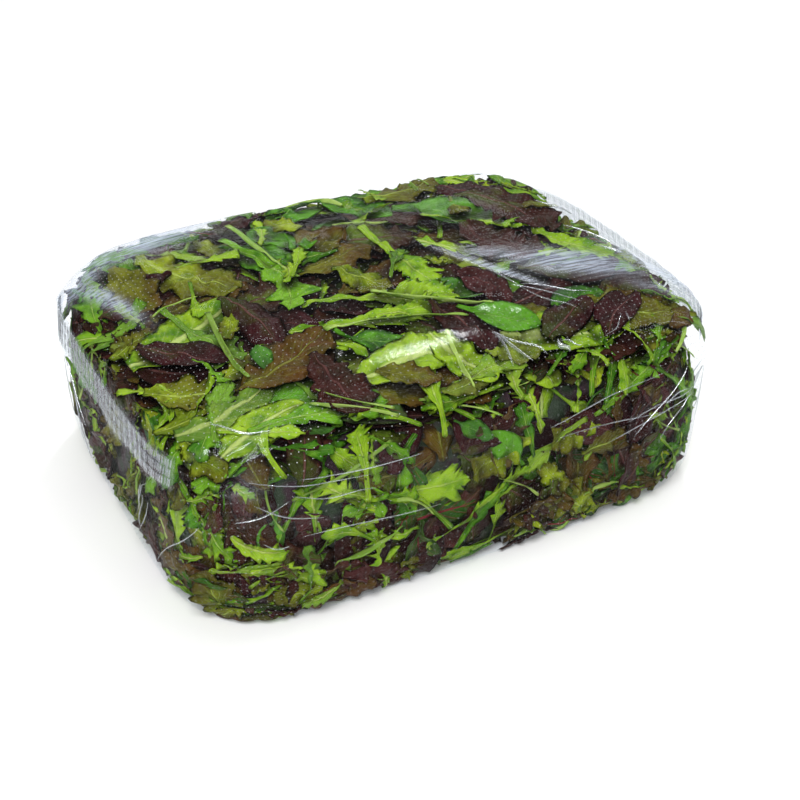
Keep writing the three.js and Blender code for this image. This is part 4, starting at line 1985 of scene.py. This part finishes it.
class GrowTree(NodeTree):
    """A Geometry Nodes tree that sets one small shape on every point of a mesh."""

    def __init__(self, name: str, sizes: dict[str, float]) -> None:
        """Starts the tree with named inputs for its sizes.

        Args:
            name: The tree's name.
            sizes: Each input's name and value.
        """
        self.tree = bpy.data.node_groups.new(name, "GeometryNodeTree")
        super().__init__(self.tree)
        face = self.tree.interface
        face.new_socket("Geometry", in_out="INPUT", socket_type="NodeSocketGeometry")
        self.sizes = sizes
        for key, value in sizes.items():
            socket = face.new_socket(key, in_out="INPUT", socket_type="NodeSocketFloat")
            socket.default_value = value
        face.new_socket("Geometry", in_out="OUTPUT", socket_type="NodeSocketGeometry")
        self.start = self.nodes.new("NodeGroupInput").outputs
        self.end = self.nodes.new("NodeGroupOutput")

    def grow(self, sites: bpy.types.Object, shape: Socket,
             material: bpy.types.Material) -> bpy.types.Object:
        """Sets the shape on the sites and turns the result into a plain mesh.

        Args:
            sites: A mesh whose points carry a facing direction in the attribute "out".
            shape: The small shape's geometry.
            material: Its material.

        Returns:
            The same object with a plain mesh and no modifier.
        """
        facing = self.node(
            "GeometryNodeInputNamedAttribute", {"data_type": "FLOAT_VECTOR"}, {"Name": "out"}
        )
        turned = self.node(
            "FunctionNodeAlignRotationToVector", {"axis": "Z"}, {"Vector": facing.outputs[0]}
        )
        placed = self.node(
            "GeometryNodeInstanceOnPoints",
            {},
            {"Points": self.start["Geometry"], "Instance": shape, "Rotation": turned.outputs[0]},
        )
        real = self.node("GeometryNodeRealizeInstances", {}, {0: placed.outputs[0]})
        dressed = self.node(
            "GeometryNodeSetMaterial", {}, {"Geometry": real.outputs[0], "Material": material}
        )
        self.links.new(dressed.outputs[0], self.end.inputs[0])
        modifier = sites.modifiers.new("grow", "NODES")
        modifier.node_group = self.tree
        for item in self.tree.interface.items_tree:
            if item.in_out == "INPUT" and item.name in self.sizes:
                modifier[item.identifier] = self.sizes[item.name]
        bpy.context.view_layer.update()
        graph = bpy.context.evaluated_depsgraph_get()
        grown = bpy.data.meshes.new_from_object(sites.evaluated_get(graph))
        sites.modifiers.remove(modifier)
        old = sites.data
        sites.data = grown
        grown.name = sites.name
        bpy.data.meshes.remove(old)
        if not grown.materials:
            grown.materials.append(material)
        return sites


@dataclass
class AirHoles:
    """The rows of tiny holes pricked through the film, each with its raised rim, painted pale and
    patchy as the glints the rims catch.
    """

    film: FilmBag
    pitch: float = 5.0
    radius: float = 0.36
    height: float = 0.16
    over: float = 0.06
    low: float = 6.0
    sides: int = 5
    painted_glint: Colour = (0.86, 0.9, 0.92)
    faint: float = 0.08
    plain: float = 0.44

    def sites(self) -> tuple[np.ndarray, np.ndarray]:
        """Finds the holes on every side but the underside.

        Returns:
            Where they lie, in millimetres, and which way they face.
        """
        box = self.film.box
        sizes = (box.length, box.width, box.belt + box.rise)
        cubes = []
        for axis, right, up in CubeLattice.PLANES:
            counts = [int(round(sizes[way] / self.pitch)) for way in (right, up)]
            steps = [(np.arange(count) + 0.5) / count * 2 - 1 for count in counts]
            grids = np.meshgrid(*steps, indexing="ij")
            for side in (1.0,) if axis == 2 else (-1.0, 1.0):
                cubes.append(CubeLattice.side_points(axis, side, grids))
        units = box.onto_skin(np.concatenate(cubes))
        points, normals = self.film.points_at(units, self.over)
        keep = points[:, 2] > self.low
        return points[keep], normals[keep]

    def build(self) -> bpy.types.Object:
        """Makes all rims in one piece.

        Returns:
            The piece.
        """
        points, normals = self.sites()
        sites = mesh_object("air_holes", points, np.zeros((0, 3), dtype=int))
        add_attribute(sites, "out", normals)
        tree = ShaderTree("air_holes_painted_glint")
        # Painted glints: the rims are coloured pale, some more opaque than others, for the
        # sparkle of light on them.
        material = tree.finish(tree.coat({
            "Base Color": (*self.painted_glint, 1.0),
            "Roughness": tree.noise(900.0) * 0.2 + 0.15,
            "Alpha": tree.noise(38.0, 2.0).step(0.35, 0.72) * self.plain + self.faint,
        }))
        grow = GrowTree("air_hole_rims", {"Radius": self.radius * MM, "Height": self.height * MM})
        rim = grow.node(
            "GeometryNodeMeshCone",
            {"fill_type": "NGON"},
            {"Vertices": self.sides, "Radius Top": 0.0,
             "Radius Bottom": grow.start["Radius"], "Depth": grow.start["Height"]},
        )
        thing = grow.grow(sites, rim.outputs["Mesh"], material)
        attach(thing, BODY)
        log.info("air_holes: %d rims", len(points))
        return thing


@dataclass
class EndSeal:
    """The crimped band that hangs from the straight edge at one end of the bag."""

    film: FilmBag
    end: float
    finish: FilmFinish
    drop: float = 23.0
    stand: float = 3.4
    thickness: float = 1.0
    teeth: int = 52
    tooth: float = 2.2
    ripple: float = 1.1
    ripples: float = 4.5
    span_share: float = 0.93
    overlap: float = 0.5
    flutter: float = 0.35
    rows: int = 9
    band_slack: float = 0.06
    band_haze: float = 0.03
    rib_pitch: float = 1.7
    rib_inset: float = 2.0
    rib_rows: tuple[float, ...] = (0.2, 0.46, 0.72)
    rib_share: float = 0.22
    rib_size: float = 0.5
    rib_sides: int = 6
    rib_haze: float = 0.17

    def section(self, across: np.ndarray, down: np.ndarray) -> np.ndarray:
        """Points of the band's middle surface.

        Args:
            across: Millimetres along the edge, from its middle.
            down: Shares of the drop.

        Returns:
            Points in millimetres.
        """
        box, tent = self.film.box, self.film.heap.tent
        probe = np.stack(
            (np.full(across.shape, tent.reach * self.end), across,
             np.full(across.shape, tent.height)), -1,
        )
        skin = box.points(box.onto_skin(box.shares(probe)))
        share = tent.share(across)[..., None]
        edge = skin * (1 - share) + probe * share
        angle = across / tent.half_span * math.pi * self.ripples
        stand = (self.stand + self.ripple * np.sin(angle)) * down
        edge[..., 0] += self.end * (stand + self.flutter * np.sin(across * 0.9 + down * 5))
        edge[..., 2] -= self.drop * down - self.overlap
        return edge

    def band(self, name: str, span: float) -> bpy.types.Object:
        """Makes the band, a closed sheet with a toothed lower margin.

        Args:
            name: The piece's name.
            span: Half the band's length, in millimetres.

        Returns:
            The piece.
        """
        columns = self.teeth * 4
        across, down = np.meshgrid(
            np.linspace(-span, span, columns + 1), np.linspace(0, 1, self.rows), indexing="ij"
        )
        zigzag = np.abs((np.arange(columns + 1) / 4 % 1.0) - 0.5) * 2 * self.tooth / self.drop
        outer = self.section(across, down * (1 - zigzag[:, None]))
        inner = outer.copy()
        inner[..., 0] -= self.end * self.thickness
        rows, wide = outer.shape[:2]
        front = np.arange(rows * wide).reshape(rows, wide)
        back = front + rows * wide
        faces = []

        def skin(a: np.ndarray, b: np.ndarray, c: np.ndarray, d: np.ndarray,
                 turned: bool) -> None:
            """Adds the cells between four sets of corners."""
            cells = np.stack((a, b, c, d), -1).reshape(-1, 4)
            faces.append(cells[:, ::-1] if turned else cells)

        for grid, turned in ((front, self.end > 0), (back, self.end < 0)):
            skin(grid[:-1, :-1], grid[1:, :-1], grid[1:, 1:], grid[:-1, 1:], turned)
        for line, flip in ((0, False), (-1, True)):
            turned = flip == (self.end > 0)
            near, far = front[:, line], back[:, line]
            skin(near[:-1], near[1:], far[1:], far[:-1], turned)
            near, far = front[line], back[line]
            skin(near[:-1], far[:-1], far[1:], near[1:], turned)
        points = np.concatenate((outer.reshape(-1, 3), inner.reshape(-1, 3)))
        thing = mesh_object(name, points, np.concatenate(faces))
        add_attribute(thing, "slack", np.full(len(points), self.band_slack))
        thing.data.materials.append(self.finish.material(name + "_finish", self.band_haze))
        return thing

    def crimps(self, name: str, span: float) -> bpy.types.Object:
        """Makes the crimp's ribs, in rows over the band.

        Args:
            name: The band's name.
            span: Half the band's length, in millimetres.

        Returns:
            The piece.
        """
        finish = self.finish.material(name + "_crimp_finish", self.rib_haze)
        ribs_across = np.arange(-span + self.rib_inset, span - self.rib_inset, self.rib_pitch)
        points = self.section(*np.meshgrid(ribs_across, self.rib_rows, indexing="ij"))
        points = points.reshape(-1, 3)
        sites = mesh_object(name + "_crimps", points, np.zeros((0, 3), dtype=int))
        out = np.zeros_like(points)
        out[:, 2] = -1.0
        out[:, 0] = self.end * self.stand / self.drop
        add_attribute(sites, "out", unit(out))
        sizes = {"Radius": self.rib_size * MM, "Length": self.drop * self.rib_share * MM}
        grow = GrowTree(name + "_crimp_ribs", sizes)
        rib = grow.node(
            "GeometryNodeMeshCylinder",
            {"fill_type": "NGON"},
            {"Vertices": self.rib_sides, "Radius": grow.start["Radius"],
             "Depth": grow.start["Length"]},
        )
        return grow.grow(sites, rib.outputs["Mesh"], finish)

    def build(self) -> list[bpy.types.Object]:
        """Makes the band and its crimp ribs.

        Returns:
            The two pieces.
        """
        name = "seal_right" if self.end > 0 else "seal_left"
        span = self.film.heap.tent.half_span * self.span_share
        pieces = [self.band(name, span), self.crimps(name, span)]
        for thing in pieces:
            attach(thing, BODY)
            log.info("%s: %d faces", thing.name, len(thing.data.polygons))
        return pieces


@dataclass(frozen=True)
class SoftLight:
    """One rectangular light: where it hangs and what it faces, in metres, and its watts."""

    name: str
    place: Place
    aim: Place
    size: tuple[float, float]
    power: float

    def build(self) -> None:
        """Hangs the light."""
        lamp = bpy.data.lights.new(self.name, "AREA")
        lamp.shape = "RECTANGLE"
        lamp.size, lamp.size_y = self.size
        lamp.energy = self.power
        thing = bpy.data.objects.new(self.name, lamp)
        bpy.context.scene.collection.objects.link(thing)
        thing.location = self.place
        facing = Vector(self.aim) - Vector(self.place)
        thing.rotation_euler = facing.to_track_quat("-Z", "Y").to_euler()


@dataclass
class Studio:
    """The pale floor, the soft lights and the camera at the photo's angle."""

    floor_size: float = 14.0
    floor_drop: float = 0.3
    floor_tint: Colour = (0.96, 0.96, 0.96)
    floor_glow: float = 0.1
    backdrop: float = 0.24
    lights: tuple[SoftLight, ...] = (
        SoftLight("key", (-0.7, -0.9, 1.5), (0.0, 0.0, 0.08), (0.8, 0.8), 27.0),
        SoftLight("overhead", (0.25, 0.2, 1.6), (0.0, 0.0, 0.1), (1.3, 1.0), 7.0),
        SoftLight("back_strip", (0.55, 1.35, 0.75), (0.05, 0.05, 0.12), (0.9, 0.14), 1.8),
        SoftLight("spark", (0.9, 1.2, 1.6), (0.0, 0.0, 0.12), (0.16, 0.16), 9.0),
        SoftLight("side_strip", (1.3, -0.15, 0.8), (0.1, 0.0, 0.1), (0.4, 0.9), 3.5),
    )
    nearest: float = 0.02
    farthest: float = 60.0

    def floor(self) -> None:
        """A plain pale floor under the bag."""
        half = self.floor_size / 2 / MM
        corners = [(x * half, y * half, -self.floor_drop)
                   for x, y in ((-1, -1), (1, -1), (1, 1), (-1, 1))]
        thing = mesh_object("floor", np.array(corners), np.array([[0, 1, 2, 3]]))
        tree = ShaderTree("floor_finish")
        thing.data.materials.append(tree.finish(tree.coat({
            "Base Color": (*self.floor_tint, 1.0),
            "Roughness": 0.9,
            "Specular IOR Level": 0.1,
            "Emission Color": (1.0, 1.0, 1.0, 1.0),
            "Emission Strength": self.floor_glow,
        })))

    def camera(self) -> None:
        """The photo's camera."""
        lens = bpy.data.cameras.new("camera")
        lens.lens, lens.sensor_width = VIEW.lens, VIEW.sensor
        lens.clip_start, lens.clip_end = self.nearest, self.farthest
        thing = bpy.data.objects.new("camera", lens)
        bpy.context.scene.collection.objects.link(thing)
        turn = Matrix((Vector(VIEW.right), Vector(VIEW.up), Vector(VIEW.back))).transposed()
        thing.matrix_world = Matrix.Translation(VIEW.place) @ turn.to_4x4()
        bpy.context.scene.camera = thing

    def build(self) -> None:
        """Sets up the whole studio."""
        self.floor()
        for light in self.lights:
            light.build()
        world = bpy.data.worlds.new("studio")
        world.use_nodes = True
        backdrop = world.node_tree.nodes["Background"]
        backdrop.inputs["Color"].default_value = (1.0, 1.0, 1.0, 1.0)
        backdrop.inputs["Strength"].default_value = self.backdrop
        scene = bpy.context.scene
        scene.world = world
        scene.view_settings.view_transform = "Standard"
        scene.view_settings.look = "None"
        self.camera()


def main() -> None:
    """Builds every piece in order and reports each."""
    logging.basicConfig(level=logging.INFO, format="%(message)s")
    Studio().build()
    box = SoftBox()
    heap = LeafHeap(box, EndTent(box))
    heap.scatter(110, LOW_MIX, COARSE, Region.BASE)
    heap.scatter(200, LOW_MIX, COARSE, Region.SIDES)
    heap.scatter(150, LOW_MIX, COARSE, Region.TOP)
    heap.scatter(340, HIGH_MIX, FINE, Region.SIDES, 0.85)
    heap.scatter(200, HIGH_MIX, FINE, Region.TOP, 0.85)
    heap.scatter(110, HIGH_MIX, FINE, Region.RIM, 0.8)
    heap.scatter(80, BIT_MIX, COARSE, Region.TOP, 0.6)
    heap.plant(SPOTS)
    heap.scatter(30, BIT_MIX, COARSE, Region.TOP, 0.45)
    heap.scatter(150, BIT_MIX, COARSE, Region.SIDES, 0.55)
    heap.scatter(60, BIT_MIX, COARSE, Region.RIM, 0.6)
    heap.settle()
    PackedCore(heap).build()
    for sort in LeafSort:
        heap.piece(sort, FINISHES[sort])
    film = FilmBag(box, heap, FilmFinish())
    film.build()
    FilmPleats(film).build()
    AirHoles(film).build()
    for end in (-1.0, 1.0):
        EndSeal(film, end, FilmFinish(slack_sheen=0.25, gloss=0.1, roughness=0.16)).build()
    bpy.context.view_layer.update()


if __name__ == "__main__":
    main()
